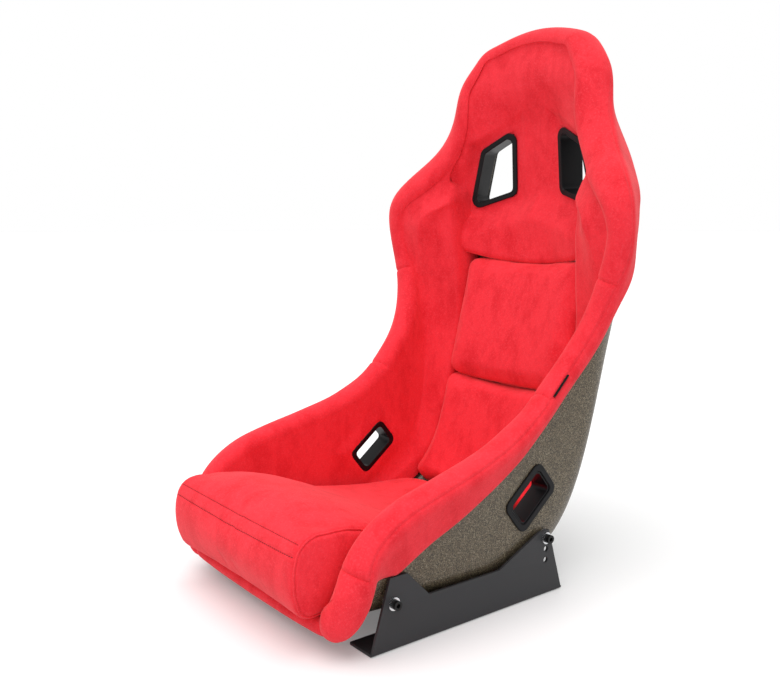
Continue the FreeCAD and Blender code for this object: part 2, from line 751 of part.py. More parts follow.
def padding(label, u_range, t_range, top, counts, fit):
    """A pad on the shell's inner face: t_range(u) gives its side edges and top(u, t) its thickness."""
    gap = dim("bond_gap")
    under, over = [], []
    for u in spread(*u_range, counts[0]):
        row = spread(*t_range(u), counts[1])
        under.append([above_shell(u, t, gap) for t in row])
        over.append([above_shell(u, t, gap + top(u, t)) for t in row])
    return feature(label, sheet_solid(under, over, fit))


LINING_ENDS = (0.6, 12.8)
LINING_GAP = 10.0          # free edge between the linings and the rolls
UPPER_PAD_ENDS = (10.6, 15.35)
UPPER_PAD_HALF = 146.0
BESIDE_BACK_CUSHION = 143.0


def lining_inner_x(u):
    """Half the width between the two linings: wide at the hips, narrower beside the back cushion."""
    beside_cushions = lerp(dim("base_half_width") + 5, BESIDE_BACK_CUSHION, smooth((u - 5.5) / 3))
    return lerp(beside_cushions, UPPER_PAD_HALF + 4, smooth(u - 9.8))


def lining_thick(u, t):
    """Thicker behind the shoulders, where foam fills the shell's corner."""
    at_corner = smooth((1 - abs(t)) / 0.3)
    return dim("lining_thick") + dim("lining_shoulder_extra") * at_corner * smooth((u - 9.6) / 1.6)


def lining_range(u):
    thick = dim("lining_thick") + dim("bond_gap")
    low = t_where_x(u, thick + dim("lining_shoulder_extra") * smooth((u - 9.6) / 1.6), lining_inner_x(u))
    return low, t_below_rim(u, dim("roll_inner_leg") + LINING_GAP)


def upper_pad_range(u):
    half = min(t_at_x(u, UPPER_PAD_HALF), t_below_rim(u, dim("roll_inner_leg") + 8))
    return -half, half


def upper_pad_thick(u, t):
    """Bulges at its lower lip and at the headrest."""
    lip = smooth((11.35 - u) / 0.5)
    head = smooth((u - 13.4) / 1.2) * smooth((16.4 - u) / 0.9)
    return dim("upper_pad_thick") + dim("upper_pad_bulge") * max(lip, head) * (1 - 0.4 * t * t)


# ---------------------------------------------------------------------------------------------------------
# The foam roll round the rim: C sections over the shell's edge, lofted
# ---------------------------------------------------------------------------------------------------------
def roll_section(edge, outward, normal, radius, reach, inner_leg, outer_leg, hem):
    """A closed C section round the shell's edge. outward points past the edge, normal out of the seat."""
    gap = dim("roll_gap")
    wall = dim("shell_wall")

    def place(past, inside):
        return edge + outward * past - normal * inside

    corners = [
        place(-inner_leg, gap), place(gap, gap), place(gap, -wall - gap), place(-outer_leg, -wall - gap),
        place(-outer_leg, -wall - gap - hem), place(0, -wall - radius),
    ]
    crest = place(reach, -wall / 2)
    inner_top = place(0, radius)
    inner_end = place(-inner_leg, radius)
    edges = [Part.makeLine(a, b) for a, b in zip(corners, corners[1:])]
    edges.append(Part.Arc(corners[-1], crest, inner_top).toShape())
    edges.append(Part.makeLine(inner_top, inner_end))
    edges.append(Part.makeLine(inner_end, corners[0]))
    return Part.Wire(edges)


def side_section(u):
    """The roll's section on the left rim."""
    edge = shell_point(u, 1)
    tangent = rim_tangent(u)
    wing = edge - shell_point(u, 1 - STEP)
    outward = unit(wing - tangent * wing.dot(tangent))
    return roll_section(edge, outward, unit(tangent.cross(outward)), dim("roll_radius"), dim("roll_reach"),
                        dim("roll_inner_leg"), lerp(0.4, 1, smooth((u - 0.6) / 2)) * dim("roll_outer_leg"),
                        dim("roll_hem"))


def end_section(u, t, radius, reach, inner_leg, outer_leg, hem):
    """The roll's section on the head's top edge (u = LAST) or on the front lip (u = 0)."""
    edge = shell_point(u, t)
    inside = STEP if u < 1 else -STEP
    outward = unit(edge - shell_point(u + inside, t))
    return roll_section(edge, outward, shell_normal(u, t), radius, reach, inner_leg, outer_leg, hem)


def roll(label, u_start, u_end, count):
    sections = [side_section(u) for u in spread(u_start, u_end, count)]
    return feature(label, Part.makeLoft(sections, True, False))


def head_roll():
    sizes = [dim(a) for a in ("roll_radius", "roll_reach", "roll_inner_leg", "roll_outer_leg", "roll_hem")]
    sections = [end_section(LAST, t, *sizes) for t in spread(-0.7, 0.7, 13)]
    return feature("head_bolster", Part.makeLoft(sections, True))


def lip_roll():
    sizes = [dim(a) for a in ("lip_radius", "lip_reach", "lip_hem", "lip_leg", "lip_hem")]
    sections = [end_section(0, t, *sizes) for t in spread(-0.44, 0.44, 3)]
    return feature("front_lip_pad", Part.makeLoft(sections, True))


# ---------------------------------------------------------------------------------------------------------
# Loose cushions and the hook-and-loop strips that hold them
# ---------------------------------------------------------------------------------------------------------
def stack_height(layers):
    """The height over the shell after a number of strips, each with its gap."""
    return layers * (dim("strip_thick") + dim("strip_gap")) + dim("seat_gap")


def lumbar_half(u):
    return lerp(dim("cushion_low_half"), dim("cushion_high_half"), smooth((u - 6.8) / 2.0))


def back_half(u):
    return dim("cushion_high_half")


def back_cushion(label, u_range, half):
    """A cushion that follows the shell, thinner towards its side edges."""
    base = stack_height(2)
    under, over = [], []
    for u in spread(*u_range, 9):
        half_x = half(u)
        inner_row, outer_row = [], []
        for k in spread(-1, 1, 13):
            t = math.copysign(t_at_x(u, abs(k) * half_x), k)
            inner_row.append(above_shell(u, t, base))
            face = above_shell(u, t, base + dim("cushion_thick") * (1 - 0.35 * k ** 6))
            face.x = k * half_x
            outer_row.append(face)
        under.append(inner_row)
        over.append(outer_row)
    return feature(label, sheet_solid(under, over, through_points))


def base_cushion():
    body = doc.addObject("PartDesign::Body", "base_cushion")
    profile = new_sketch(body, "base_profile", "YZ_Plane")
    corners = [({f"base_depth_{i:02d}": 1}, {f"base_height_{i:02d}": 1}) for i in range(len(BASE_PROFILE))]
    polygon(profile, corners)
    solid = pad(body, "base_cushion_pad", profile, {"base_half_width": 2})
    solid.Midplane = True
    return body


def strips(label, layer, places):
    """Hook or loop strips as separate solids: places holds (u from, u to, x from, x to)."""
    low = stack_height(layer)
    high = low + dim("strip_thick")
    solids = []
    for u_from, u_to, x_from, x_to in places:
        for side in (1, -1):
            under, over = [], []
            for u in spread(u_from, u_to, 5):
                row = [side * t_at_x(u, x) for x in spread(x_from, x_to, 3)]
                under.append([above_shell(u, t, low) for t in row])
                over.append([above_shell(u, t, high) for t in row])
            solids.append(sheet_solid(under, over, through_points))
    return named(feature(label, Part.Compound(solids)), label)


TAG_STATION = 5.9


def label_tag():
    """A blank tag that lies along the seam, on the outside of the left roll."""
    u = TAG_STATION
    edge = shell_point(u, 1)
    tangent = rim_tangent(u)
    wing = edge - shell_point(u, 1 - STEP)
    outward = unit(wing - tangent * wing.dot(tangent))
    normal = unit(tangent.cross(outward))
    obj = doc.addObject("Part::Box", "label_tag")
    obj.setExpression("Length", formula({"tag_length": 1}))
    obj.setExpression("Width", formula({"tag_width": 1}))
    obj.setExpression("Height", formula({"tag_thick": 1}))
    stand = dim("shell_wall") + dim("roll_radius") + dim("tag_lift")
    obj.Placement = Placement(edge + normal * stand - outward * dim("tag_width"),
                              Rotation(tangent, outward, normal, "ZXY"))
    return named(obj, "label_tag")


STRIP_X = (60, 100)
BASE_STRIPS = [(1.9, 3.9, *STRIP_X)]
LUMBAR_STRIPS = [(7.4, 8.6, *STRIP_X)]
BACK_STRIPS = [(9.2, 10.3, *STRIP_X)]

# ---------------------------------------------------------------------------------------------------------
# Assembly
# ---------------------------------------------------------------------------------------------------------
envelope = shell_sheet("shell_envelope", dim("seat_gap"), dim("seat_gap"))
openings = LAP.cutter("shell_opening", {"sleeve_fit": 1}) + SHOULDER.cutter("shell_opening", {"sleeve_fit": 1})
bores = [x_cylinder(f"shell_bore_{i}", side, (y, z), {"insert_length": 8}, {"insert_radius": 1, "seat_gap": 1},
                    {"insert_length": 4}) for i, (side, y, z) in enumerate(BOLT_PLACES)]
soft_clearance = shell_sheet("soft_clearance", dim("strip_gap"), dim("strip_gap"))
named(cut("seat_shell", shell_sheet("shell_wall_sheet", 0.0, 0.0), openings + bores), "seat_shell")

mirror_of(bracket(), "right_side_bracket")
group("bracket_bolts", bolt)
group("bracket_washers", washer)
group("mount_inserts", insert)

for opening in (LAP, SHOULDER):
    front = named(opening.front_bezel(), f"left_{opening.name}_bezel_front")
    mirror_of(front, f"right_{opening.name}_bezel_front")
    rear = named(opening.rear_bezel(envelope), f"left_{opening.name}_bezel_rear")
    mirror_of(rear, f"right_{opening.name}_bezel_rear")

clearance = {"pad_clearance": 1}
lap_gap = LAP.cutter("pad_opening", clearance)
shoulder_gap = SHOULDER.cutter("pad_opening", clearance)
relief = [x_cylinder(f"lining_relief_{name}", 1, (name, z), {"insert_length": 9}, {"insert_radius": 1.25},
                     {"insert_length": 2}) for name, z in BOLT_HEIGHTS]
lining = padding("lining_blank", LINING_ENDS, lining_range, lining_thick, (19, 9), near_points)
lining_cuts = [lap_gap[0], *relief, soft_clearance]
left_lining = named(cut("left_side_lining", lining, lining_cuts), "left_side_lining")
mirror_of(left_lining, "right_side_lining")
upper_pad = padding("upper_pad_blank", UPPER_PAD_ENDS, upper_pad_range, upper_pad_thick, (21, 15), near_points)
named(cut("upper_back_pad", upper_pad, shoulder_gap), "upper_back_pad")

ROLLS = [
    ("thigh_bolster", 0.6, 5.47, 16),
    ("side_bolster", 5.53, 9.17, 12),
    ("shoulder_bolster", 9.23, 15.4, 20),
]
for label, u_start, u_end, count in ROLLS:
    bolster = cut("left_" + label, roll(label + "_blank", u_start, u_end, count), [soft_clearance])
    mirror_of(named(bolster, "left_" + label), "right_" + label)
named(head_roll(), "head_bolster")
named(lip_roll(), "front_lip_pad")

label_tag()

named(base_cushion(), "base_cushion")
named(back_cushion("lumbar_cushion", (7.05, 8.88), lumbar_half), "lumbar_cushion")
named(back_cushion("back_cushion", (8.98, 10.5), back_half), "back_cushion")
strips("base_loop_strips", 0, BASE_STRIPS)
strips("base_hook_strips", 1, BASE_STRIPS)
strips("back_loop_strips", 0, LUMBAR_STRIPS + BACK_STRIPS)
strips("lumbar_hook_strips", 1, LUMBAR_STRIPS)
strips("back_hook_strips", 1, BACK_STRIPS)

# ---------------------------------------------------------------------------------------------------------
# Check and export
# ---------------------------------------------------------------------------------------------------------
doc.recompute()
for obj in doc.Objects:
    if {"Invalid", "Error"} & set(obj.State):
        raise RuntimeError(f"{obj.Name} did not compute: {obj.State}")
os.makedirs("parts", exist_ok=True)
for obj in SUBPARTS:
    if obj.Shape.isNull() or not obj.Shape.isValid():
        raise RuntimeError(f"{obj.Label} has no valid shape")
    obj.Shape.exportStep(f"parts/{obj.Label}.step")
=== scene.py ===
"""The looks of a fixed-back racing seat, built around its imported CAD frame.

Lengths in the shape functions are millimetres in the row frame (+Z up, the sitter faces -Y, +X is the
sitter's left); they turn into metres when a mesh is made. The padded cover is one smooth surface worked out
from the shell's stations. It is split into objects where the real cover has its seams.
"""
import json
import math

import bmesh
import bpy
import numpy as np
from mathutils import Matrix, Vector
from mathutils.bvhtree import BVHTree


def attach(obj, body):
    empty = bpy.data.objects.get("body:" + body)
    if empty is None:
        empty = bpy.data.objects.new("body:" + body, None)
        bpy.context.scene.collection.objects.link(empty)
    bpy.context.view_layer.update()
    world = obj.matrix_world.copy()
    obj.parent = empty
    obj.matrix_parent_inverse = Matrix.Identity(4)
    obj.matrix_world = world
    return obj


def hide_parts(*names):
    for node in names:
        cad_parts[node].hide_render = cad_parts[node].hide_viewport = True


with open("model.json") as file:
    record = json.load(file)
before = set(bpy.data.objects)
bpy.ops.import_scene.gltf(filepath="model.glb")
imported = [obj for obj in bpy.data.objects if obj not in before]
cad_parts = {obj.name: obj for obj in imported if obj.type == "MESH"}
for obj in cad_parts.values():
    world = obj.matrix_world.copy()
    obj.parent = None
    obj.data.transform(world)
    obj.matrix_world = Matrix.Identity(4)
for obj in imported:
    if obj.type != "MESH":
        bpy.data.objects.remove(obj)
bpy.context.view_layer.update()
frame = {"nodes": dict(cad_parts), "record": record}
NODES = frame["nodes"]
MM = 0.001
RNG = np.random.default_rng(7)

# ---------------------------------------------------------------------------------------------------------
# The shell, as the CAD has it: spine (y, z), corner (x, y, z), rim (x, y, z), rounding of the corner
# ---------------------------------------------------------------------------------------------------------
STATIONS = np.array([
    (-224, 40, 196, -220, 42, 210, -206, 84, 28),
    (-190, 46, 198, -188, 47, 213, -184, 136, 34),
    (-130, 44, 200, -130, 44, 216, -128, 176, 38),
    (-40, 40, 203, -42, 40, 215, -38, 202, 42),
    (60, 36, 204, 52, 38, 207, 58, 230, 46),
    (150, 36, 206, 135, 45, 203, 130, 268, 60),
    (222, 50, 202, 193, 68, 206, 176, 312, 75),
    (264, 95, 199, 232, 115, 214, 212, 356, 85),
    (287, 170, 197, 260, 190, 226, 236, 402, 90),
    (310, 275, 196, 285, 295, 240, 248, 455, 90),
    (340, 400, 200, 314, 420, 256, 250, 510, 85),
    (372, 545, 208, 341, 545, 263, 246, 566, 80),
    (379, 630, 188, 354, 620, 246, 256, 612, 70),
    (376, 690, 160, 357, 680, 193, 296, 672, 60),
    (369, 750, 132, 354, 740, 160, 316, 735, 50),
    (360, 812, 112, 350, 800, 145, 328, 792, 40),
    (354, 860, 78, 349, 850, 104, 342, 838, 30),
], float)
LAST = len(STATIONS) - 1
FLAT_END = 0.45
CORNER_END = 0.75
STEP = 0.01
WALL = 4.0


def second_derivatives(values):
    """Those of the natural cubic spline through values at 0, 1, 2 ..."""
    n = len(values)
    matrix = np.eye(n)
    load = np.zeros(values.shape)
    for i in range(1, n - 1):
        matrix[i, i - 1:i + 2] = (1, 4, 1)
        load[i] = 6 * (values[i + 1] - 2 * values[i] + values[i - 1])
    return np.linalg.solve(matrix, load)


BEND = second_derivatives(STATIONS)


def station(u):
    i = np.clip(u.astype(int), 0, LAST - 1)
    k = (u - i)[..., None]
    a, b = STATIONS[i], STATIONS[i + 1]
    bend_a, bend_b = BEND[i], BEND[i + 1]
    return a * (1 - k) + b * k + ((1 - k) ** 3 - (1 - k)) * bend_a / 6 + (k ** 3 - k) * bend_b / 6


def unit(v):
    return v / np.maximum(np.linalg.norm(v, axis=-1, keepdims=True), 1e-9)


def smooth(k):
    k = np.clip(k, 0.0, 1.0)
    return k * k * (3 - 2 * k)


def lerp(a, b, k):
    return a + (b - a) * k


def bezier(a, b, c, k):
    return a * (1 - k) ** 2 + b * (2 * k * (1 - k)) + c * k ** 2


def pair(u, t):
    return np.broadcast_arrays(np.asarray(u, float), np.asarray(t, float))


def shell_point(u, t):
    """The shell's inner face at u along the seat (0 lip, 16 head) and t across it (-1 to 1)."""
    u, t = pair(u, t)
    side = np.where(t < 0, -1.0, 1.0)
    t = np.abs(t)[..., None]
    v = station(u)
    spine = np.concatenate([np.zeros(v.shape[:-1] + (1,)), v[..., 0:2]], axis=-1)
    corner, rim = v[..., 2:5], v[..., 5:8]
    reach = np.minimum(v[..., 8:9], 0.9 * np.linalg.norm(rim - corner, axis=-1, keepdims=True))
    level = spine.copy()
    level[..., 0:1] += (corner[..., 0:1] - reach) / 2
    start = corner - unit(corner - level) * reach
    end = corner + unit(rim - corner) * reach
    flat = bezier(spine, level, start, t / FLAT_END)
    turn = bezier(start, corner, end, (t - FLAT_END) / (CORNER_END - FLAT_END))
    wing = lerp(end, rim, (t - CORNER_END) / (1 - CORNER_END))
    p = np.where(t < FLAT_END, flat, np.where(t < CORNER_END, turn, wing))
    p[..., 0] *= side
    return p


def shell_normal(u, t):
    """Points out of the seat, away from the sitter."""
    u, t = pair(u, t)
    u = np.clip(u, STEP, LAST - STEP)
    t = np.clip(t, STEP - 1, 1 - STEP)
    along = shell_point(u + STEP, t) - shell_point(u - STEP, t)
    across = shell_point(u, t + STEP) - shell_point(u, t - STEP)
    return -unit(np.cross(across, along))


def above_shell(u, t, height):
    u, t = pair(u, t)
    return shell_point(u, t) - shell_normal(u, t) * np.broadcast_to(height, u.shape)[..., None]


def solve_t(u, reaches, low=0.05, high=CORNER_END):
    """The t at each u where reaches(u, t) turns true, by bisection."""
    low = np.full(np.shape(u), low)
    high = np.full(np.shape(u), high)
    for _ in range(24):
        middle = (low + high) / 2
        hit = reaches(u, middle)
        high = np.where(hit, middle, high)
        low = np.where(hit, low, middle)
    return low


def t_at_x(u, x):
    return solve_t(np.asarray(u, float), lambda a, b: shell_point(a, b)[..., 0] >= x)


# ---------------------------------------------------------------------------------------------------------
# Harness openings: the frames of their front bezels, as the CAD has them
# ---------------------------------------------------------------------------------------------------------
class Opening:
    """An opening on the sitter's left: an origin, three axes and a convex outline in the first two."""

    def __init__(self, origin, first, out, outline):
        self.origin = np.array(origin, float)
        self.out = unit(np.array(out, float))
        first = np.array(first, float)
        self.first = unit(first - self.out * first.dot(self.out))
        self.second = np.cross(self.out, self.first)
        self.outline = np.array(outline, float)

    def local(self, points):
        rel = points - self.origin
        return rel @ self.first, rel @ self.second, rel @ self.out

    def distance(self, points):
        """How far each point lies outside the outline, square to the opening's axis; negative inside."""
        x, y, _ = self.local(points)
        corners = self.outline
        best = np.full(x.shape, -1e9)
        for a, b in zip(corners, np.roll(corners, -1, axis=0)):
            edge = (b - a) / np.linalg.norm(b - a)
            best = np.maximum(best, (x - a[0]) * edge[1] - (y - a[1]) * edge[0])
        return best

    def press_flat(self, points, flange, fade, sink=0.4):
        """Brings a surface level with the flange's underside, fading out beyond the flange."""
        _, _, depth = self.local(points)
        weight = 1 - smooth((self.distance(points) - flange) / fade)
        return points + self.out * ((sink - depth) * weight)[..., None]


def lap_opening():
    us, ts = np.meshgrid(np.linspace(4, 6.5, 251), np.linspace(0.6, 1, 161), indexing="ij")
    target = np.array((207.0, 117.0, 154.0))
    grid = shell_point(us, ts)
    best = np.unravel_index(np.argmin(np.linalg.norm(grid - target, axis=-1)), us.shape)
    out = shell_normal(us[best], ts[best])
    slope = math.radians(39)
    half_length, half_height, stand = 35, 19, 25
    outline = [(-half_length, -half_height), (half_length, -half_height),
               (half_length, half_height), (-half_length, half_height)]
    return Opening(grid[best] - out * stand, (0, math.cos(slope), math.sin(slope)), out, outline)


def shoulder_opening():
    x, y, z = 95, 331, 648
    corners = [(56.5, 612), (56.5, 708), (112, 680), (135, 590)]
    outline = [(cz - z, cx - x) for cx, cz in corners]
    out = (math.tan(math.radians(15.7)), 1, math.tan(math.radians(4.4)))
    return Opening((x, y, z), (0, 0, 1), out, outline)


LAP = lap_opening()
SHOULDER = shoulder_opening()
FLANGE = 9.0
HOLE_GROW = 3.0

# ---------------------------------------------------------------------------------------------------------
# Mesh helpers
# ---------------------------------------------------------------------------------------------------------


def new_object(name, verts, faces, material, shade_smooth=True):
    mesh = bpy.data.meshes.new(name)
    mesh.from_pydata([tuple(v) for v in np.asarray(verts) * MM], [], faces)
    mesh.validate()
    mesh.update()
    if shade_smooth:
        mesh.shade_smooth()
        mesh.set_sharp_from_angle(angle=math.radians(55))
    obj = bpy.data.objects.new(name, mesh)
    bpy.context.scene.collection.objects.link(obj)
    mesh.materials.append(material)
    return obj


def mirrored_object(source, name):
    """A copy on the other side of X = 0, with its faces turned the right way round."""
    obj = source.copy()
    obj.data = source.data.copy()
    obj.name = name
    obj.data.name = name
    work = bmesh.new()
    work.from_mesh(obj.data)
    for vert in work.verts:
        vert.co.x = -vert.co.x
    bmesh.ops.reverse_faces(work, faces=work.faces)
    work.to_mesh(obj.data)
    work.free()
    bpy.context.scene.collection.objects.link(obj)
    return obj


def grid_normals(p):
    """The normals of a grid of points (rows, columns, 3)."""
    rows = np.gradient(p, axis=0)
    cols = np.gradient(p, axis=1)
    return unit(np.cross(rows, cols))


def grid_solid(name, p, thickness, material, keep=None, flip=False):
    """A closed sheet: the grid, a copy moved back along its normals, and walls round every border.

    keep says which cells stay (rows - 1, columns - 1). With flip the copy goes the other way.
    """
    rows, cols = p.shape[:2]
    normals = grid_normals(p) * (1 if flip else -1)
    back = p + normals * np.broadcast_to(thickness, (rows, cols))[..., None]
    keep = np.ones((rows - 1, cols - 1), bool) if keep is None else keep
    count = rows * cols
    verts = np.concatenate([p.reshape(-1, 3), back.reshape(-1, 3)])
    faces = []

    def quad(a, b, c, d):
        faces.append((d, c, b, a) if flip else (a, b, c, d))

    for i, j in zip(*np.nonzero(keep)):
        a, b = i * cols + j, (i + 1) * cols + j
        quad(a, b, b + 1, a + 1)
        quad(a + count, a + 1 + count, b + 1 + count, b + count)
        borders = (
            (j == 0 or not keep[i, j - 1], a, b),
            (j == cols - 2 or not keep[i, j + 1], b + 1, a + 1),
            (i == 0 or not keep[i - 1, j], a + 1, a),
            (i == rows - 2 or not keep[i + 1, j], b, b + 1),
        )
        for open_side, first, last in borders:
            if open_side:
                quad(last, first, first + count, last + count)
    used = np.unique(np.array(faces).ravel())
    index = np.full(2 * count, -1)
    index[used] = np.arange(len(used))
    return new_object(name, verts[used], [tuple(int(index[v]) for v in f) for f in faces], material)


def tube(name, points, radius, material, sides=8, closed=False):
    """A round cord along points."""
    points = np.asarray(points, float)
    if closed:
        tangent = unit(np.roll(points, -1, axis=0) - np.roll(points, 1, axis=0))
    else:
        tangent = unit(np.gradient(points, axis=0))
    up = np.array((0.3, 0.2, 1.0))
    side = unit(np.cross(tangent, up))
    over = np.cross(side, tangent)
    angle = np.linspace(0, 2 * math.pi, sides, endpoint=False)
    ring = side[:, None] * np.cos(angle)[None, :, None] + over[:, None] * np.sin(angle)[None, :, None]
    verts = (points[:, None] + ring * radius).reshape(-1, 3)
    count = len(points)
    faces = []
    for i in range(count if closed else count - 1):
        for j in range(sides):
            a, b = i * sides + j, i * sides + (j + 1) % sides
            c, d = ((i + 1) % count) * sides + (j + 1) % sides, ((i + 1) % count) * sides + j
            faces.append((a, b, c, d))
    if not closed:
        faces.append(tuple(reversed(range(sides))))
        faces.append(tuple(range((count - 1) * sides, count * sides)))
    return new_object(name, verts, faces, material)


def along_path(points, spacing):
    """Resamples a polyline at even spacing: (points, fractional indices)."""
    lengths = np.concatenate([[0], np.cumsum(np.linalg.norm(np.diff(points, axis=0), axis=1))])
    count = max(int(lengths[-1] / spacing), 2)
    where = np.interp(np.linspace(0, lengths[-1], count + 1), lengths, np.arange(len(points)))
    return sample(points, where), where


def sample(values, where):
    """Linear interpolation of rows at fractional indices."""
    low = np.clip(where.astype(int), 0, len(values) - 2)
    k = (where - low)[:, None]
    return values[low] * (1 - k) + values[low + 1] * k


STITCH_RING = 5


def stitches(name, points, normals, material, length=3.3, pitch=5.4, radius=0.7, lift=0.2, angle=0.0):
    """A row of short thread capsules on a surface, each turned by angle from the row's direction."""
    centres, where = along_path(np.asarray(points, float), pitch)
    up = unit(sample(np.asarray(normals, float), where))
    run = unit(np.gradient(centres, axis=0))
    side = np.cross(up, run)
    run = run * math.cos(angle) + side * math.sin(angle)
    side = np.cross(up, run)
    turn = np.linspace(0, 2 * math.pi, STITCH_RING, endpoint=False)
    stations = [(-0.5, 0.25, -0.6), (-0.32, 0.9, 0.0), (0.0, 1.0, 0.25), (0.32, 0.9, 0.0), (0.5, 0.25, -0.6)]
    verts, faces = [], []
    for centre, a, b, c in zip(centres, run, side, up):
        base = len(verts)
        for along, size, height in stations:
            middle = centre + a * along * length + c * (lift + height * radius)
            for phase in turn:
                verts.append(middle + (b * math.cos(phase) + c * math.sin(phase)) * radius * size)
        for i in range(len(stations) - 1):
            for j in range(STITCH_RING):
                k = (j + 1) % STITCH_RING
                row, nxt = base + i * STITCH_RING, base + (i + 1) * STITCH_RING
                faces.append((row + j, row + k, nxt + k, nxt + j))
        faces.append(tuple(base + j for j in reversed(range(STITCH_RING))))
        faces.append(tuple(base + (len(stations) - 1) * STITCH_RING + j for j in range(STITCH_RING)))
    return new_object(name, verts, faces, material)


def noise_field(p, scale, seed):
    """A smooth random value in about -1..1 for each point: a few summed waves."""
    rng = np.random.default_rng(seed)
    total = np.zeros(p.shape[:-1])
    for _ in range(7):
        direction = unit(rng.normal(size=3)) * (2 * math.pi / scale) * rng.uniform(0.6, 1.5)
        total += np.sin(p @ direction + rng.uniform(0, 2 * math.pi))
    return total / 3.5


# ---------------------------------------------------------------------------------------------------------
# Materials
# ---------------------------------------------------------------------------------------------------------
class Shader:
    """A few words for building node materials."""

    def __init__(self, name):
        self.material = bpy.data.materials.new(name)
        self.material.use_nodes = True
        self.nodes = self.material.node_tree.nodes
        self.links = self.material.node_tree.links
        self.surface = self.nodes["Principled BSDF"]
        self.place = self.nodes.new("ShaderNodeTexCoord").outputs["Object"]

    def join(self, source, target):
        if isinstance(source, (int, float)):
            target.default_value = source
        elif isinstance(source, tuple):
            target.default_value = (*source, 1.0) if len(source) == 3 else source
        else:
            self.links.new(source, target)

    def stretch(self, factors):
        node = self.nodes.new("ShaderNodeMapping")
        node.inputs["Scale"].default_value = factors
        self.join(self.place, node.inputs["Vector"])
        return node.outputs["Vector"]

    def noise(self, scale, detail=2.0, roughness=0.5, place=None, distortion=0.0):
        node = self.nodes.new("ShaderNodeTexNoise")
        node.inputs["Scale"].default_value = scale
        node.inputs["Detail"].default_value = detail
        node.inputs["Roughness"].default_value = roughness
        node.inputs["Distortion"].default_value = distortion
        self.join(place or self.place, node.inputs["Vector"])
        return node.outputs["Fac"]

    def cells(self, scale, feature="F1", output="Distance"):
        node = self.nodes.new("ShaderNodeTexVoronoi")
        node.feature = feature
        node.inputs["Scale"].default_value = scale
        self.join(self.place, node.inputs["Vector"])
        return node.outputs[output]

    def ramp(self, source, stops):
        node = self.nodes.new("ShaderNodeValToRGB")
        elements = node.color_ramp.elements
        while len(elements) < len(stops):
            elements.new(0.5)
        for element, (position, colour) in zip(elements, stops):
            element.position = position
            element.color = (*colour, 1.0)
        self.join(source, node.inputs["Fac"])
        return node.outputs["Color"]

    def mix(self, factor, a, b, blend="MIX"):
        node = self.nodes.new("ShaderNodeMix")
        node.data_type = "RGBA"
        node.blend_type = blend
        self.join(factor, node.inputs[0])
        self.join(a, node.inputs[6])
        self.join(b, node.inputs[7])
        return node.outputs[2]

    def sum(self, a, b, weight_b=1.0):
        node = self.nodes.new("ShaderNodeMath")
        node.operation = "MULTIPLY_ADD"
        self.join(b, node.inputs[0])
        node.inputs[1].default_value = weight_b
        self.join(a, node.inputs[2])
        return node.outputs[0]

    def bump(self, height, distance, strength=1.0):
        node = self.nodes.new("ShaderNodeBump")
        node.inputs["Distance"].default_value = distance
        node.inputs["Strength"].default_value = strength
        self.join(height, node.inputs["Height"])
        self.join(node.outputs["Normal"], self.surface.inputs["Normal"])

    def set(self, **values):
        for key, value in values.items():
            self.join(value, self.surface.inputs[key.replace("_", " ")])
        return self


GREY = {name: (value,) * 3 for name, value in (("low", 0.0), ("half", 0.5), ("high", 1.0))}


def suede(name, light, dark, deep, pale):
    """Brushed microfibre: cloudy hand-stroked patches, a fine nap and a soft pale sheen at grazing angles."""
    s = Shader(name)
    stroked = s.noise(30, detail=5, roughness=0.6, place=s.stretch((1.0, 1.0, 0.5)), distortion=0.35)
    blotch = s.noise(85, detail=4, roughness=0.7)
    mottle = s.noise(330, detail=3, roughness=0.75)
    nap = s.noise(1500, detail=2)
    fibre = s.noise(3800, detail=1)
    tone = s.ramp(stroked, [(0.33, dark), (0.55, light), (0.75, light)])
    tone = s.mix(s.ramp(blotch, [(0.52, GREY["low"]), (0.8, (0.4,) * 3)]), tone, deep)
    tone = s.mix(s.ramp(mottle, [(0.5, GREY["low"]), (0.78, (0.55,) * 3)]), tone, pale)
    grain = s.ramp(nap, [(0.3, (0.86,) * 3), (0.7, (1.08,) * 3)])
    tone = s.mix(1.0, tone, grain, "MULTIPLY")
    s.set(Base_Color=tone, Roughness=0.92, Specular_IOR_Level=0.12, Sheen_Weight=0.3, Sheen_Roughness=0.45,
          Sheen_Tint=(1.0, 0.42, 0.42))
    height = s.sum(s.sum(s.sum(s.sum(0.0, blotch, 0.4), mottle, 0.3), nap, 0.25), fibre, 0.12)
    s.bump(height, 0.0009, 0.5)
    return s.material


def thread(name, colour):
    s = Shader(name)
    twist = s.noise(2500, detail=1)
    s.set(Base_Color=s.mix(twist, colour, tuple(c * 0.55 for c in colour)), Roughness=0.6, Specular_IOR_Level=0.2)
    s.bump(twist, 0.0002, 0.5)
    return s.material


def gelcoat(name):
    """A bronze base with gold, straw and near-black flakes under a clear coat."""
    s = Shader(name)
    flake = s.cells(880, output="Color")
    split = s.nodes.new("ShaderNodeSeparateColor")
    s.join(flake, split.inputs[0])
    fine = s.noise(900, detail=2, roughness=0.8)
    tone = s.ramp(split.outputs[0], [(0.0, (0.02, 0.016, 0.01)), (0.28, (0.07, 0.052, 0.029)),
                                     (0.55, (0.112, 0.084, 0.048)), (0.8, (0.162, 0.126, 0.074)),
                                     (1.0, (0.3, 0.25, 0.17))])
    shade = s.ramp(fine, [(0.35, (0.62,) * 3), (0.65, (1.15,) * 3)])
    tone = s.mix(1.0, tone, shade, "MULTIPLY")
    s.set(Base_Color=tone, Metallic=0.35, Roughness=s.ramp(split.outputs[1], [(0, (0.32,) * 3), (1, (0.6,) * 3)]),
          Coat_Weight=0.35, Coat_Roughness=0.16)
    s.bump(s.sum(s.sum(0.0, split.outputs[2], 0.3), s.noise(60, detail=2), 0.6), 0.0004, 0.35)
    return s.material


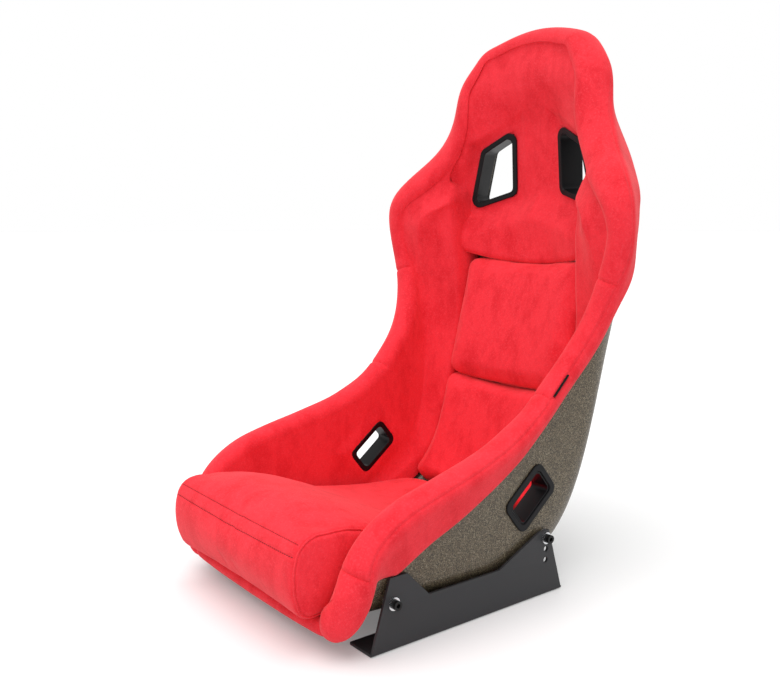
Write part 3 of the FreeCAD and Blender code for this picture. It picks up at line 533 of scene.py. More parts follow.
def powder_coat(name):
    s = Shader(name)
    peel = s.noise(900, detail=2)
    drift = s.noise(14, detail=3)
    tone = s.ramp(drift, [(0.35, (0.009, 0.009, 0.010)), (0.7, (0.014, 0.014, 0.016))])
    edge = s.nodes.new("ShaderNodeNewGeometry").outputs["Pointiness"]
    worn = s.ramp(edge, [(0.52, GREY["low"]), (0.6, (0.35,) * 3)])
    s.set(Base_Color=s.mix(worn, tone, (0.07, 0.07, 0.075)), Roughness=s.ramp(drift, [(0.3, (0.42,) * 3),
          (0.7, (0.52,) * 3)]), Specular_IOR_Level=0.35)
    s.bump(s.sum(peel, drift, 0.3), 0.0003, 0.35)
    return s.material


def moulded_plastic(name):
    s = Shader(name)
    grain = s.cells(1600)
    drift = s.noise(20, detail=3)
    s.set(Base_Color=s.ramp(drift, [(0.3, (0.003, 0.003, 0.004)), (0.7, (0.006, 0.006, 0.007))]),
          Roughness=s.ramp(drift, [(0.3, (0.36,) * 3), (0.7, (0.46,) * 3)]), Specular_IOR_Level=0.2)
    s.bump(grain, 0.00012, 0.3)
    return s.material


def plated_steel(name):
    s = Shader(name)
    brushed = s.noise(500, detail=3, place=s.stretch((1.0, 6.0, 1.0)))
    s.set(Base_Color=s.ramp(brushed, [(0.3, (0.62, 0.63, 0.65)), (0.7, (0.85, 0.86, 0.88))]), Metallic=1.0,
          Roughness=s.ramp(brushed, [(0.3, (0.16,) * 3), (0.7, (0.3,) * 3)]))
    s.bump(brushed, 0.0001, 0.3)
    return s.material


def black_oxide(name):
    s = Shader(name)
    grain = s.noise(700, detail=2)
    s.set(Base_Color=s.ramp(grain, [(0.3, (0.008,) * 3), (0.7, (0.02,) * 3)]), Metallic=0.6, Roughness=0.36)
    s.bump(grain, 0.0001, 0.4)
    return s.material


def pile_tape(name, hooks):
    """Hook-and-loop tape: rows of hooks, or a tangled pile."""
    s = Shader(name)
    pattern = s.cells(900) if hooks else s.noise(1400, detail=4, roughness=0.8, distortion=2.0)
    s.set(Base_Color=s.ramp(pattern, [(0.2, (0.006,) * 3), (0.8, (0.03,) * 3)]), Roughness=0.85, Sheen_Weight=0.4)
    s.bump(pattern, 0.0012, 0.8)
    return s.material


def woven_tape(name):
    s = Shader(name)
    wave = s.nodes.new("ShaderNodeTexWave")
    wave.inputs["Scale"].default_value = 900
    s.join(s.place, wave.inputs["Vector"])
    s.set(Base_Color=s.ramp(wave.outputs["Fac"], [(0.2, (0.002,) * 3), (0.8, (0.008,) * 3)]), Roughness=0.6,
          Specular_IOR_Level=0.15)
    s.bump(wave.outputs["Fac"], 0.0003, 0.6)
    return s.material


SUEDE = suede("red_suede", (0.87, 0.034, 0.05), (0.75, 0.02, 0.032), (0.64, 0.012, 0.021), (0.95, 0.09, 0.118))
THREAD = thread("red_thread", (0.24, 0.005, 0.01))
FINISHES = {
    "gelcoat": gelcoat("gold_fleck_gelcoat"),
    "bracket_black": powder_coat("satin_black_powder_coat"),
    "bolt_black": black_oxide("black_oxide_steel"),
    "zinc": plated_steel("zinc_plate"),
    "bezel_plastic": moulded_plastic("black_moulded_plastic"),
    "hook_and_loop": pile_tape("black_pile_tape", False),
    "tag_fabric": woven_tape("black_woven_tape"),
    "red_suede": SUEDE,
}
HOOK_TAPE = pile_tape("black_hook_tape", True)


def finish_cad_nodes():
    """Gives every carried-over CAD node its own procedural material."""
    for subpart in frame["record"]["subparts"]:
        material = FINISHES[subpart["material_slot"]]
        if "hook_strips" in subpart["node"]:
            material = HOOK_TAPE
        for material_slot in NODES[subpart["node"]].material_slots:
            material_slot.material = material


# ---------------------------------------------------------------------------------------------------------
# The rim: a path round the shell's edge with a frame at each point, and the roll's section along it
# ---------------------------------------------------------------------------------------------------------
LIP_TURN = 0.5        # |t| on the lip where the side rolls take over
LIP_FADE = 0.13       # how much further the roll takes to reach its full section
SIDE_REACH = 19.0     # how far the crest stands past the shell's edge
LIP_IN = 6.0
LIP_OUT = 9.0
LIP_REACH = 13.0
PATH_STEP = 3.0
LEG_STATIONS = (0, 0.5, 1, 2, 2.5, 3, 4, 4.7, 5.5, 8.2, 8.8, 9.6, 10.6, 16)
LEG_LENGTHS = (40, 48, 53, 51, 46, 38, 20, 11, 6, 5, 10, 24, 36, 40)
IN_STATIONS = (0, 10.5, 12.4, 14, 16)
IN_DEPTHS = (22, 22, 42, 43, 38)
OUT_STATIONS = (0, 4, 6, 9.5, 11, 16)
OUT_DEPTHS = (18, 16, 12, 11, 8, 8)


def half_rim():
    """(u, t) pairs from the middle of the lip, up the left rim, to the middle of the head."""
    lip = [(0.0, t) for t in np.linspace(0, 1, 80, endpoint=False)]
    side = [(u, 1.0) for u in np.linspace(0, LAST, 500, endpoint=False)]
    top = [(float(LAST), t) for t in np.linspace(1, 0, 80)]
    return np.array(lip + side + top)


def soften(values, passes):
    """Averages neighbours along a path whose ends lie on the centre plane."""
    flip = np.array((-1.0, 1.0, 1.0))
    for _ in range(passes):
        padded = np.concatenate([values[1:2] * flip, values, values[-2:-1] * flip])
        values = (padded[:-2] + 2 * padded[1:-1] + padded[2:]) / 4
    return values


def side_inside(u):
    """The foam on the sitter's side of the rim: deeper beside the neck."""
    return np.interp(u, IN_STATIONS, IN_DEPTHS)


class Rim:
    """The path round the left half of the shell's edge, with the roll's frame and sizes at each point."""

    def __init__(self):
        params = half_rim()
        raw = shell_point(params[:, 0], params[:, 1])
        _, where = along_path(raw, PATH_STEP)
        self.params = sample(params, where)
        self.u, self.t = self.params[:, 0], self.params[:, 1]
        self.edge = soften(shell_point(self.u, self.t), 16)
        self.normal = unit(soften(shell_normal(self.u, self.t), 26))
        flip = np.array((-1.0, 1.0, 1.0))
        padded = np.concatenate([self.edge[1:2] * flip, self.edge, self.edge[-2:-1] * flip])
        self.tangent = unit(padded[2:] - padded[:-2])
        self.past = unit(np.cross(self.normal, self.tangent))
        middle = shell_point(8.0, 0.0)
        if np.mean(np.sum((self.edge - middle) * self.past, axis=1)) < 0:
            self.past = -self.past
        self.on_lip = np.where(self.u < 0.001, 1 - smooth((self.t - LIP_TURN + 0.03) / LIP_FADE), 0.0)
        self.on_lip = soften_scalar(self.on_lip, 3)
        self.inside = lerp(side_inside(self.u), LIP_IN, self.on_lip)
        self.outside = lerp(soften_scalar(np.interp(self.u, OUT_STATIONS, OUT_DEPTHS), 60), LIP_OUT, self.on_lip)
        self.reach = lerp(SIDE_REACH, LIP_REACH, self.on_lip)
        side_leg = soften_scalar(np.interp(self.u, LEG_STATIONS, LEG_LENGTHS), 60)
        self.leg = lerp(side_leg, 20.0, self.on_lip)

    def at(self, past, inside):
        """Points at (past the edge, towards the sitter) for each path point; arrays (rows, columns)."""
        return (self.edge[:, None] + self.past[:, None] * past[..., None]
                - self.normal[:, None] * inside[..., None])


def soften_scalar(values, passes):
    for _ in range(passes):
        padded = np.concatenate([values[:1], values, values[-1:]])
        values = (padded[:-2] + 2 * padded[1:-1] + padded[2:]) / 4
    return values


RIM = Rim()
CREST_COLUMNS = 41
SEAM_COLUMN = 33          # the crest column that the long stitched seam follows
LEG_COLUMNS = 9
SEAM_DEPTH = 3.0
WELT_HEIGHT = 0.9


def roll_grid():
    """The roll round the half rim: columns run from its inner edge over the crest to the hem on the shell."""
    turn = np.linspace(0, math.pi, CREST_COLUMNS)[None, :]
    inside, outside = RIM.inside[:, None], RIM.outside[:, None]
    middle = (inside - WALL - outside) / 2
    half = (inside + WALL + outside) / 2
    past = RIM.reach[:, None] * np.abs(np.sin(turn)) ** 0.86
    depth = middle + half * np.sign(np.cos(turn)) * np.abs(np.cos(turn)) ** 0.92
    k = np.linspace(0, 1, LEG_COLUMNS + 1)[None, 1:]
    leg = RIM.leg[:, None]
    hem = 9.0
    leg_past = -leg * k
    leg_depth = lerp(-WALL - outside, -WALL - hem, k ** 0.9)
    tuck_past = np.concatenate([-leg - 2.2, -leg - 3.4, -leg - 2.6], axis=1)
    tuck_depth = np.broadcast_to(np.array((-WALL - hem + 1.6, -WALL - hem + 4.5, -WALL - 0.4)), tuck_past.shape)
    past = np.concatenate([past, leg_past, tuck_past], axis=1)
    depth = np.concatenate([depth, leg_depth, tuck_depth], axis=1)
    return RIM.at(past, depth)


CROSS_SEAMS = (0.55, 5.5, 9.2)


def crease(grid, normals):
    """Presses the long seam and the cross seams into the roll."""
    columns = np.arange(grid.shape[1])
    along = np.exp(-((columns - SEAM_COLUMN) / 0.8) ** 2) * SEAM_DEPTH
    along -= np.exp(-((columns - SEAM_COLUMN + 2.2) / 1.1) ** 2) * WELT_HEIGHT
    depth = np.tile(along, (len(grid), 1)) * (1 - RIM.on_lip)[:, None]
    span = smooth((columns - 1.0) / 6) * (columns <= SEAM_COLUMN)
    rows = np.nonzero(RIM.t > 0.999)[0]
    seam_rows_at = [rows[np.argmin(np.abs(RIM.u[rows] - seam))] for seam in CROSS_SEAMS]
    seam_rows_at.append(int(np.argmin(np.abs(RIM.t[RIM.u < 0.001] - LIP_TURN))))
    for row in seam_rows_at:
        away = (np.arange(len(grid)) - row)[:, None] * PATH_STEP
        depth += np.exp(-(away / 2.6) ** 2) * SEAM_DEPTH * span[None, :]
    return grid - normals * depth[..., None]


ROLL = roll_grid()
ROLL_NORMALS = -grid_normals(ROLL)
if np.mean(np.sum(ROLL_NORMALS[:, CREST_COLUMNS // 2] * RIM.past, axis=1)) < 0:
    ROLL_NORMALS = -ROLL_NORMALS
ROLL = crease(ROLL, ROLL_NORMALS)
ROLL = ROLL + ROLL_NORMALS * (noise_field(ROLL, 90, 3) * 0.5)[..., None]
ROLL[0, :, 0] = 0.0
ROLL[-1, :, 0] = 0.0


def rows_between(u_low, u_high):
    """The rim rows on the side from u_low to u_high."""
    side = np.nonzero((RIM.t > 0.999) | ((RIM.u > 0.001) & (RIM.u < LAST - 0.001)))[0]
    low = side[np.argmin(np.abs(RIM.u[side] - u_low))]
    high = side[np.argmin(np.abs(RIM.u[side] - u_high))]
    return low, high


def both_halves(grid):
    """A grid that ends on the centre plane, with its mirror image, as one grid of rows across the seat."""
    flip = np.array((-1.0, 1.0, 1.0))
    return np.concatenate([grid, (grid * flip)[::-1][1:]])


def ride_root(obj, *nodes):
    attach(obj, "root")
    if nodes:
        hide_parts(*nodes)
    return obj


def seam_rows(grid, rows, column, offset):
    """The path of a stitch row beside a seam column, with normals: offset is in columns."""
    where = column + offset
    low = int(math.floor(where))
    k = where - low
    points = lerp(grid[rows, low], grid[rows, low + 1], k)
    normals = unit(lerp(ROLL_NORMALS[rows, low], ROLL_NORMALS[rows, low + 1], k))
    return points, normals


def add_mirrored(left, left_name, right_name, *nodes):
    right = mirrored_object(left, right_name)
    ride_root(right, *nodes)
    return right


def build_rolls():
    """Thigh, side and shoulder rolls on both sides, the head roll and the lip roll; all but the lip roll have
    stitches.
    """
    splits = {"thigh_bolster": (0.0, CROSS_SEAMS[1]), "side_bolster": CROSS_SEAMS[1:3],
              "shoulder_bolster": (CROSS_SEAMS[2], 15.4)}
    lip_end = int(np.argmin(np.abs(RIM.t[RIM.u < 0.001] - LIP_TURN)))
    for kind, (u_low, u_high) in splits.items():
        low, high = rows_between(u_low, u_high)
        if kind == "thigh_bolster":
            low = lip_end
        rows = slice(low, high + 1)
        left = grid_solid(f"left_{kind}", ROLL[rows], 3.0, SUEDE)
        ride_root(left, f"left_{kind}")
        add_mirrored(left, f"left_{kind}", f"right_{kind}", f"right_{kind}")
        stitch_roll(kind, low, high)
    low, _ = rows_between(15.4, LAST)
    head = both_halves(ROLL[low:])
    ride_root(grid_solid("head_bolster", head, 3.0, SUEDE), "head_bolster")
    normals = both_halves(ROLL_NORMALS[low:])
    points = head[:, SEAM_COLUMN + 1]
    ride_root(stitches("head_seam_stitches", points, normals[:, SEAM_COLUMN + 1], THREAD))
    lip = both_halves(lip_grid(lip_end)[::-1])
    ride_root(grid_solid("front_lip_pad", lip, 2.5, SUEDE, flip=True), "front_lip_pad")


def lip_grid(last_row):
    """The lip's roll with an inner leg that lies on the pan under the cushion."""
    rows = slice(0, last_row + 1)
    k = np.linspace(1, 0, 6, endpoint=False)
    past = np.broadcast_to(-26.0 * k, (last_row + 1, len(k)))
    depth = np.broadcast_to(lerp(LIP_IN, 1.5, k ** 2), past.shape)
    leg = (RIM.edge[rows, None] + RIM.past[rows, None] * past[..., None]
           - RIM.normal[rows, None] * depth[..., None])
    return np.concatenate([leg, ROLL[rows]], axis=1)


def stitch_roll(kind, low, high):
    """The long seam's stitches, and a row each side of the cross seam at the segment's lower end."""
    rows = np.arange(low, high + 1)
    points, normals = seam_rows(ROLL, rows, SEAM_COLUMN, 0.95)
    left = ride_root(stitches(f"left_{kind}_stitches", points, normals, THREAD))
    ride_root(mirrored_object(left, f"right_{kind}_stitches"))
    seam = {"thigh_bolster": CROSS_SEAMS[0], "side_bolster": CROSS_SEAMS[1], "shoulder_bolster": CROSS_SEAMS[2]}
    centre, _ = rows_between(seam[kind], seam[kind])
    columns = np.arange(8, SEAM_COLUMN)
    for side, offset in (("low", -1), ("high", 1)):
        points = lerp(ROLL[centre, columns], ROLL[centre + offset, columns], 1.2)
        left = ride_root(stitches(f"left_{kind}_cross_{side}", points, ROLL_NORMALS[centre, columns], THREAD,
                                  length=3.0, pitch=4.4, radius=0.45))
        ride_root(mirrored_object(left, f"right_{kind}_cross_{side}"))


# ---------------------------------------------------------------------------------------------------------
# Linings: the padded inside of the wings, from the pan and the cushions up to the rolls
# ---------------------------------------------------------------------------------------------------------
SHOULDER_FOAM = 43.0
LINING_COLUMNS = 60
LINING_TOP = 13.4
FOAM_TOP = 13.1           # where the deep foam behind the shoulders has thinned out
BASE_HALF = 172.0
BACK_HALF = 143.0
PAD_HALF = 150.0
WALL_ROWS = 7
OVER_SHELL = 7.5          # where a pad's hidden edge stops, clear of the shell


def lining_height(u, t):
    """The foam over the shell: even on the wings, deep behind the shoulders, thin at the front edge."""
    shoulder = smooth((u - 9.5) / 1.4) * smooth((FOAM_TOP - u) / 1.5)
    return side_inside(u) + SHOULDER_FOAM * shoulder * smooth((1 - t) / 0.3)


def lining_low(u):
    """The t of the lining's inner edge: beside the cushions, beside the upper pad, then out to the roll."""
    half = lerp(lerp(BASE_HALF + 3, BACK_HALF, smooth((u - 5.5) / 3)), PAD_HALF, smooth((u - 10.5) / 0.5))

    def reaches(a, b):
        return above_shell(a, b, lining_height(a, b))[..., 0] >= half

    beside = solve_t(np.minimum(u, 12.3), reaches, low=0.25)
    return lerp(beside, 0.985, smooth((u - 12.3) / (LINING_TOP - 12.3)))


def lining_grid():
    low, high = rows_between(0.0, LINING_TOP)
    rows = slice(low, high + 1)
    u = RIM.u[rows]
    t_low = soften_scalar(lining_low(u), 30)
    q = np.linspace(0, 1, LINING_COLUMNS)[None, :]
    t = t_low[:, None] + (1 - t_low[:, None]) * q
    u_full = np.broadcast_to(u[:, None], t.shape)
    front = above_shell(u_full, t, lining_height(u_full, t))
    target = ROLL[rows, 0]
    front = front + (target - front[:, -1])[:, None] * (q ** 5)[..., None]
    puff = noise_field(front, 80, 5) * 0.7 * (1 - q ** 4)
    front = front - shell_normal(u_full, t) * puff[..., None]
    front = LAP.press_flat(front, FLANGE + 1, 26)
    front = front + LAP.out * (smooth((FLANGE - 0.5 - LAP.distance(front)) / 2.5) * 2.0)[..., None]
    edge = front[:, 0]
    straight = above_shell(u, t_at_x(u, edge[:, 0] + 3), OVER_SHELL)
    square = above_shell(u, t_low, OVER_SHELL)
    foot = lerp(straight, square, smooth((u - 12.0) / 0.7)[:, None])
    k = np.linspace(1, 0, WALL_ROWS, endpoint=False)[None, :, None]
    bow = unit(edge - front[:, 2])[:, None] * (4.0 * np.sin(np.pi * np.minimum(k * 1.6, 1.0) * 0.5))
    wall = lerp(edge[:, None], foot[:, None], k) + bow * (1 - smooth((u - 12.0) / 0.7))[:, None, None]
    return np.concatenate([wall, front], axis=1), u


def cell_centres(grid):
    return (grid[:-1, :-1] + grid[1:, :-1] + grid[:-1, 1:] + grid[1:, 1:]) / 4


def build_linings():
    grid, stations = lining_grid()
    keep = LAP.distance(cell_centres(grid)) > HOLE_GROW
    left = grid_solid("left_side_lining", grid, 3.0, SUEDE, keep=keep)
    ride_root(left, "left_side_lining")
    add_mirrored(left, "left_side_lining", "right_side_lining", "right_side_lining")
    return grid[:, WALL_ROWS], stations


# ---------------------------------------------------------------------------------------------------------
# The upper back pad: head and shoulder panel between the wings
# ---------------------------------------------------------------------------------------------------------
PAD_LOW = 10.635


def panel_y(x, z):
    """The panel's front face: a plane round the harness openings, a bulge over its lower lip and a headrest."""
    x = np.abs(x)
    lean = 345 + 5 - 0.077 * (z - 583)
    ramp = np.where(x < 30, 0.0, np.where(x < 60, (x - 30) ** 2 / 60, x - 45)) * 0.28
    ramp = ramp * (1 - smooth((z - 735) / 55))
    edge = 603 - 0.28 * (x - 47)
    lip = 27 * smooth((edge - z) / 55)
    head = 24 * smooth((z - 722) / 66)
    return lean - ramp - lip - head


def panel_grid(seam, seam_stations):
    """Rows up the back from the lower lip to the head roll; the side edges follow the linings, then the roll."""
    rows, columns = 150, 121
    u = np.linspace(PAD_LOW, LAST, rows)
    k = np.linspace(-1, 1, columns)
    side_rows = np.nonzero(RIM.t > 0.999)[0]
    side_u = RIM.u[side_rows]
    roll_edge = np.stack([np.interp(u, side_u, ROLL[side_rows, 0, axis]) for axis in range(3)], axis=1)
    seam_edge = np.stack([np.interp(u, seam_stations, seam[:, axis]) for axis in range(3)], axis=1)
    edge = lerp(seam_edge, roll_edge, smooth((u - 13.1) / 0.3)[:, None])
    tucked = 1 - smooth((u - 12.3) / 0.8)
    level = panel_y(edge[:, 0], edge[:, 2])
    target = edge + np.stack([3.0 * tucked, np.zeros(rows), np.zeros(rows)], axis=1)
    target[:, 1] = lerp(edge[:, 1], lerp(level, edge[:, 1], 0.55), tucked)
    spine = shell_point(u, 0.0)
    x = target[:, 0][:, None] * k[None, :]
    z = spine[:, 2][:, None] + (target[:, 2] - spine[:, 2])[:, None] * k[None, :] ** 2
    y = panel_y(x, z)
    power = lerp(np.full(rows, 2.4), np.full(rows, 11.0), tucked)[:, None]
    y = y + (target[:, 1] - panel_y(target[:, 0], target[:, 2]))[:, None] * np.abs(k[None, :]) ** power
    grid = np.stack([x, y, z], axis=-1)
    top_rows = np.nonzero(RIM.u > LAST - 0.001)[0]
    order = np.argsort(RIM.t[top_rows])
    top_t = RIM.t[top_rows][order]
    top = ROLL[top_rows, 0][order]
    along = np.abs(k)
    match = np.stack([np.interp(along, top_t, top[:, axis]) for axis in range(3)], axis=1)
    match[:, 0] *= np.sign(k)
    blend = smooth((u - 14.7) / (LAST - 14.7))[:, None, None]
    return grid + (match - grid[-1])[None] * blend


LIP_CURL = 13.0
CURL_ROWS = 9


def build_panel(seam, seam_stations):
    grid = panel_grid(seam, seam_stations)
    flip = np.array((-1.0, 1.0, 1.0))
    grid = grid - np.array((0, 1.0, 0)) * (noise_field(grid, 95, 9) * 0.8)[..., None]
    for mirror in (np.ones(3), flip):
        grid = SHOULDER.press_flat(grid * mirror, FLANGE + 1, 18)
        grid = grid + SHOULDER.out * (smooth((FLANGE - 0.5 - SHOULDER.distance(grid)) / 2.5) * 2.0)[..., None]
        grid = grid * mirror
    curl = []
    for phase in np.linspace(math.pi / 2, 0, CURL_ROWS, endpoint=False):
        curl.append(grid[0] + LIP_CURL * np.array((0, 1 - math.cos(phase), -math.sin(phase))))
    deep = [curl[0] + np.array((0, 15.0, 1.5)), curl[0] + np.array((0, 8.0, 0.6))]
    grid = np.concatenate([np.array(deep), np.array(curl), grid])
    centres = cell_centres(grid)
    keep = (SHOULDER.distance(centres) > HOLE_GROW) & (SHOULDER.distance(centres * flip) > HOLE_GROW)
    panel = grid_solid("upper_back_pad", grid, 3.0, SUEDE, keep=keep, flip=True)
    ride_root(panel, "upper_back_pad")


# ---------------------------------------------------------------------------------------------------------
# Loose cushions, blown up by cloth simulation
# ---------------------------------------------------------------------------------------------------------
def inflate(obj, pressure, cap, voxel=5.0, frames=20):
    """Voxel-remeshes a closed cushion, lets cloth pressure round it, caps the movement and subdivides once."""
    view = bpy.context.view_layer
    view.objects.active = obj
    for other in bpy.context.selected_objects:
        other.select_set(False)
    obj.select_set(True)
    remesh = obj.modifiers.new("remesh", "REMESH")
    remesh.mode = "VOXEL"
    remesh.voxel_size = voxel * MM
    bpy.ops.object.modifier_apply(modifier=remesh.name)
    relax(obj, 2)
    start = coordinates(obj)
    cloth = obj.modifiers.new("cloth", "CLOTH")
    cloth.settings.use_pressure = True
    cloth.settings.uniform_pressure_force = pressure
    cloth.settings.effector_weights.gravity = 0
    cloth.settings.quality = 4
    cloth.settings.tension_stiffness = 12
    cloth.settings.compression_stiffness = 12
    cloth.settings.bending_stiffness = 1.2
    cloth.point_cache.frame_start = 1
    cloth.point_cache.frame_end = frames
    for number in range(1, frames + 1):
        bpy.context.scene.frame_set(number)
    depsgraph = bpy.context.evaluated_depsgraph_get()
    blown = obj.evaluated_get(depsgraph)
    moved = np.empty(len(obj.data.vertices) * 3)
    blown.data.vertices.foreach_get("co", moved)
    moved = moved.reshape(-1, 3)
    obj.modifiers.remove(cloth)
    bpy.context.scene.frame_set(1)
    shift = moved - start
    length = np.linalg.norm(shift, axis=1, keepdims=True)
    limit = cap * MM
    shift = shift / np.maximum(length, 1e-9) * limit * np.tanh(length / limit)
    obj.data.vertices.foreach_set("co", (start + shift).ravel())
    relax(obj, 1)
    subdivide = obj.modifiers.new("subdivide", "SUBSURF")
    subdivide.levels = 1
    subdivide.render_levels = 1
    bpy.ops.object.modifier_apply(modifier=subdivide.name)
    obj.data.shade_smooth()


def coordinates(obj):
    values = np.empty(len(obj.data.vertices) * 3)
    obj.data.vertices.foreach_get("co", values)
    return values.reshape(-1, 3)


def relax(obj, passes):
    """Laplacian smoothing of the mesh."""
    work = bmesh.new()
    work.from_mesh(obj.data)
    for _ in range(passes):
        bmesh.ops.smooth_vert(work, verts=work.verts, factor=0.5, use_axis_x=True, use_axis_y=True, use_axis_z=True)
    work.to_mesh(obj.data)
    work.free()


def surface_of(obj):
    return BVHTree.FromObject(obj, bpy.context.evaluated_depsgraph_get())


def snap(tree, points):
    """The nearest surface points and normals for points in millimetres."""
    found, normals = [], []
    for p in points:
        place, normal, _, _ = tree.find_nearest(Vector(p * MM))
        found.append(np.array(place) / MM)
        normals.append(np.array(normal))
    return np.array(found), np.array(normals)


def press_seam(obj, path, depth, width):
    """Presses a groove into a mesh along a path that lies on it."""
    points = coordinates(obj) / MM
    dense, _ = along_path(path, 2.0)
    near = np.full(len(points), 1e9)
    for chunk in np.array_split(np.arange(len(points)), max(len(points) // 4000, 1)):
        gap = points[chunk, None] - dense[None]
        near[chunk] = np.sqrt(np.min(np.einsum("ijk,ijk->ij", gap, gap), axis=1))
    normals = np.empty(len(points) * 3)
    obj.data.vertices.foreach_get("normal", normals)
    press = depth * np.exp(-(near / width) ** 2)
    moved = points - normals.reshape(-1, 3) * press[:, None]
    obj.data.vertices.foreach_set("co", (moved * MM).ravel())
    obj.data.update()


def closed_spline(corners, count):
    """A smooth closed curve through corners (Catmull-Rom), evenly resampled."""
    corners = np.asarray(corners, float)
    n = len(corners)
    dense = []
    for i in range(n):
        a, b, c, d = (corners[(i + j - 1) % n] for j in range(4))
        for k in np.linspace(0, 1, 24, endpoint=False):
            dense.append(0.5 * (2 * b + (c - a) * k + (2 * a - 5 * b + 4 * c - d) * k ** 2
                                + (3 * b - 3 * c + d - a) * k ** 3))
    dense = np.array(dense + dense[:1])
    lengths = np.concatenate([[0], np.cumsum(np.linalg.norm(np.diff(dense, axis=0), axis=1))])
    wanted = np.linspace(0, lengths[-1], count, endpoint=False)
    return np.stack([np.interp(wanted, lengths, dense[:, axis]) for axis in range(2)], axis=1)


BASE_PROFILE = [
    (-259, 56), (-272, 84), (-274, 119), (-265, 151), (-240, 169), (-203, 173), (-152, 164), (-98, 143), (-40, 119),
    (40, 100), (110, 92), (186, 88), (207, 80), (203, 68), (150, 55), (60, 45), (-40, 49), (-130, 54), (-190, 55),
    (-230, 51),
]
EDGE_ROUND = 9.0
SIDE_DROP = 10.0


def base_profile(count=150):
    return closed_spline(BASE_PROFILE, count)


def inset_profile(profile, distance):
    run = np.roll(profile, -1, axis=0) - np.roll(profile, 1, axis=0)
    run = run / np.linalg.norm(run, axis=1, keepdims=True)
    inward = np.stack([-run[:, 1], run[:, 0]], axis=1)
    centre = profile.mean(axis=0)
    if np.mean(np.sum((centre - profile) * inward, axis=1)) < 0:
        inward = -inward
    return profile + inward * distance


def base_half_width(y):
    return 176 - 4 * smooth((y + 215) / 90)


def build_base_cushion():
    profile = base_profile()
    count = len(profile)
    rings = []
    phases = np.linspace(0, math.pi / 2, 7)
    for side in (-1, 1):
        half = []
        for phase in phases:
            ring = inset_profile(profile, EDGE_ROUND * (1 - math.cos(phase)))
            x = (base_half_width(profile[:, 0]) - EDGE_ROUND + EDGE_ROUND * math.sin(phase)) * side
            half.append(np.column_stack([x, ring]))
        rings += half[::-1] if side < 0 else half
    verts = np.array(rings)
    faces = []
    for i in range(len(rings) - 1):
        for j in range(count):
            k = (j + 1) % count
            faces.append((i * count + j, i * count + k, (i + 1) * count + k, (i + 1) * count + j))
    faces.append(tuple(reversed(range(count))))
    faces.append(tuple(range((len(rings) - 1) * count, len(rings) * count)))
    obj = new_object("base_cushion", verts.reshape(-1, 3), faces, SUEDE)
    fix_normals(obj)
    inflate(obj, 3.0, 6.0)
    lower_sides(obj)
    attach(obj, "base_cushion_body")
    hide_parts("base_cushion")
    sew_base_cushion(obj, profile)


def lower_sides(obj):
    """Lets the cushion's top fall towards its side seams, except at the nose."""
    p = coordinates(obj) / MM
    drop = smooth((np.abs(p[:, 0]) - 70) / 95) * smooth((p[:, 2] - 85) / 50) * smooth((p[:, 1] + 262) / 50)
    p[:, 2] -= SIDE_DROP * drop
    obj.data.vertices.foreach_set("co", (p * MM).ravel())
    obj.data.update()


def fix_normals(obj):
    work = bmesh.new()
    work.from_mesh(obj.data)
    bmesh.ops.recalc_face_normals(work, faces=work.faces)
    work.to_mesh(obj.data)
    work.free()


def ride_cushion(obj, body):
    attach(obj, body)
    return obj


def sew_base_cushion(obj, profile):
    """Welted seams round both side panels, a seam over the nose and a stitched line under it."""
    body = "base_cushion_body"
    tree = surface_of(obj)
    rim = inset_profile(profile, 3.5)
    loops = []
    for side in (-1, 1):
        x = (base_half_width(profile[:, 0]) - 2.0) * side
        path, normals = snap(tree, np.column_stack([x, rim]))
        loops.append((path, normals))
    xs = np.linspace(-168, 168, 80)
    lines = []
    for y, z in ((-265, 161), (-277, 144)):
        path, normals = snap(tree, np.column_stack([xs, np.full(80, y), np.full(80, z) + 0.0 * xs]))
        lines.append((path, normals))
    for path, _ in loops:
        press_seam(obj, np.concatenate([path, path[:1]]), 1.6, 3.2)
    for (path, _), depth in zip(lines, (1.8, 1.2)):
        press_seam(obj, path, depth, 2.6)
    for name, (path, normals) in zip(("right", "left"), loops):
        cord = tube(f"base_cushion_{name}_welt", path - normals * 0.5, 1.5, SUEDE, closed=True)
        ride_cushion(cord, body)
    names = ("nose_seam", "nose_stitches")
    ride_cushion(stitches("base_cushion_" + names[0], lines[0][0] - lines[0][1] * 1.3, lines[0][1], THREAD,
                          length=3.4, pitch=4.6, radius=0.4), body)
    ride_cushion(stitches("base_cushion_" + names[1], lines[1][0] - lines[1][1] * 0.8, lines[1][1], THREAD,
                          length=3.4, pitch=5.0, radius=0.5), body)


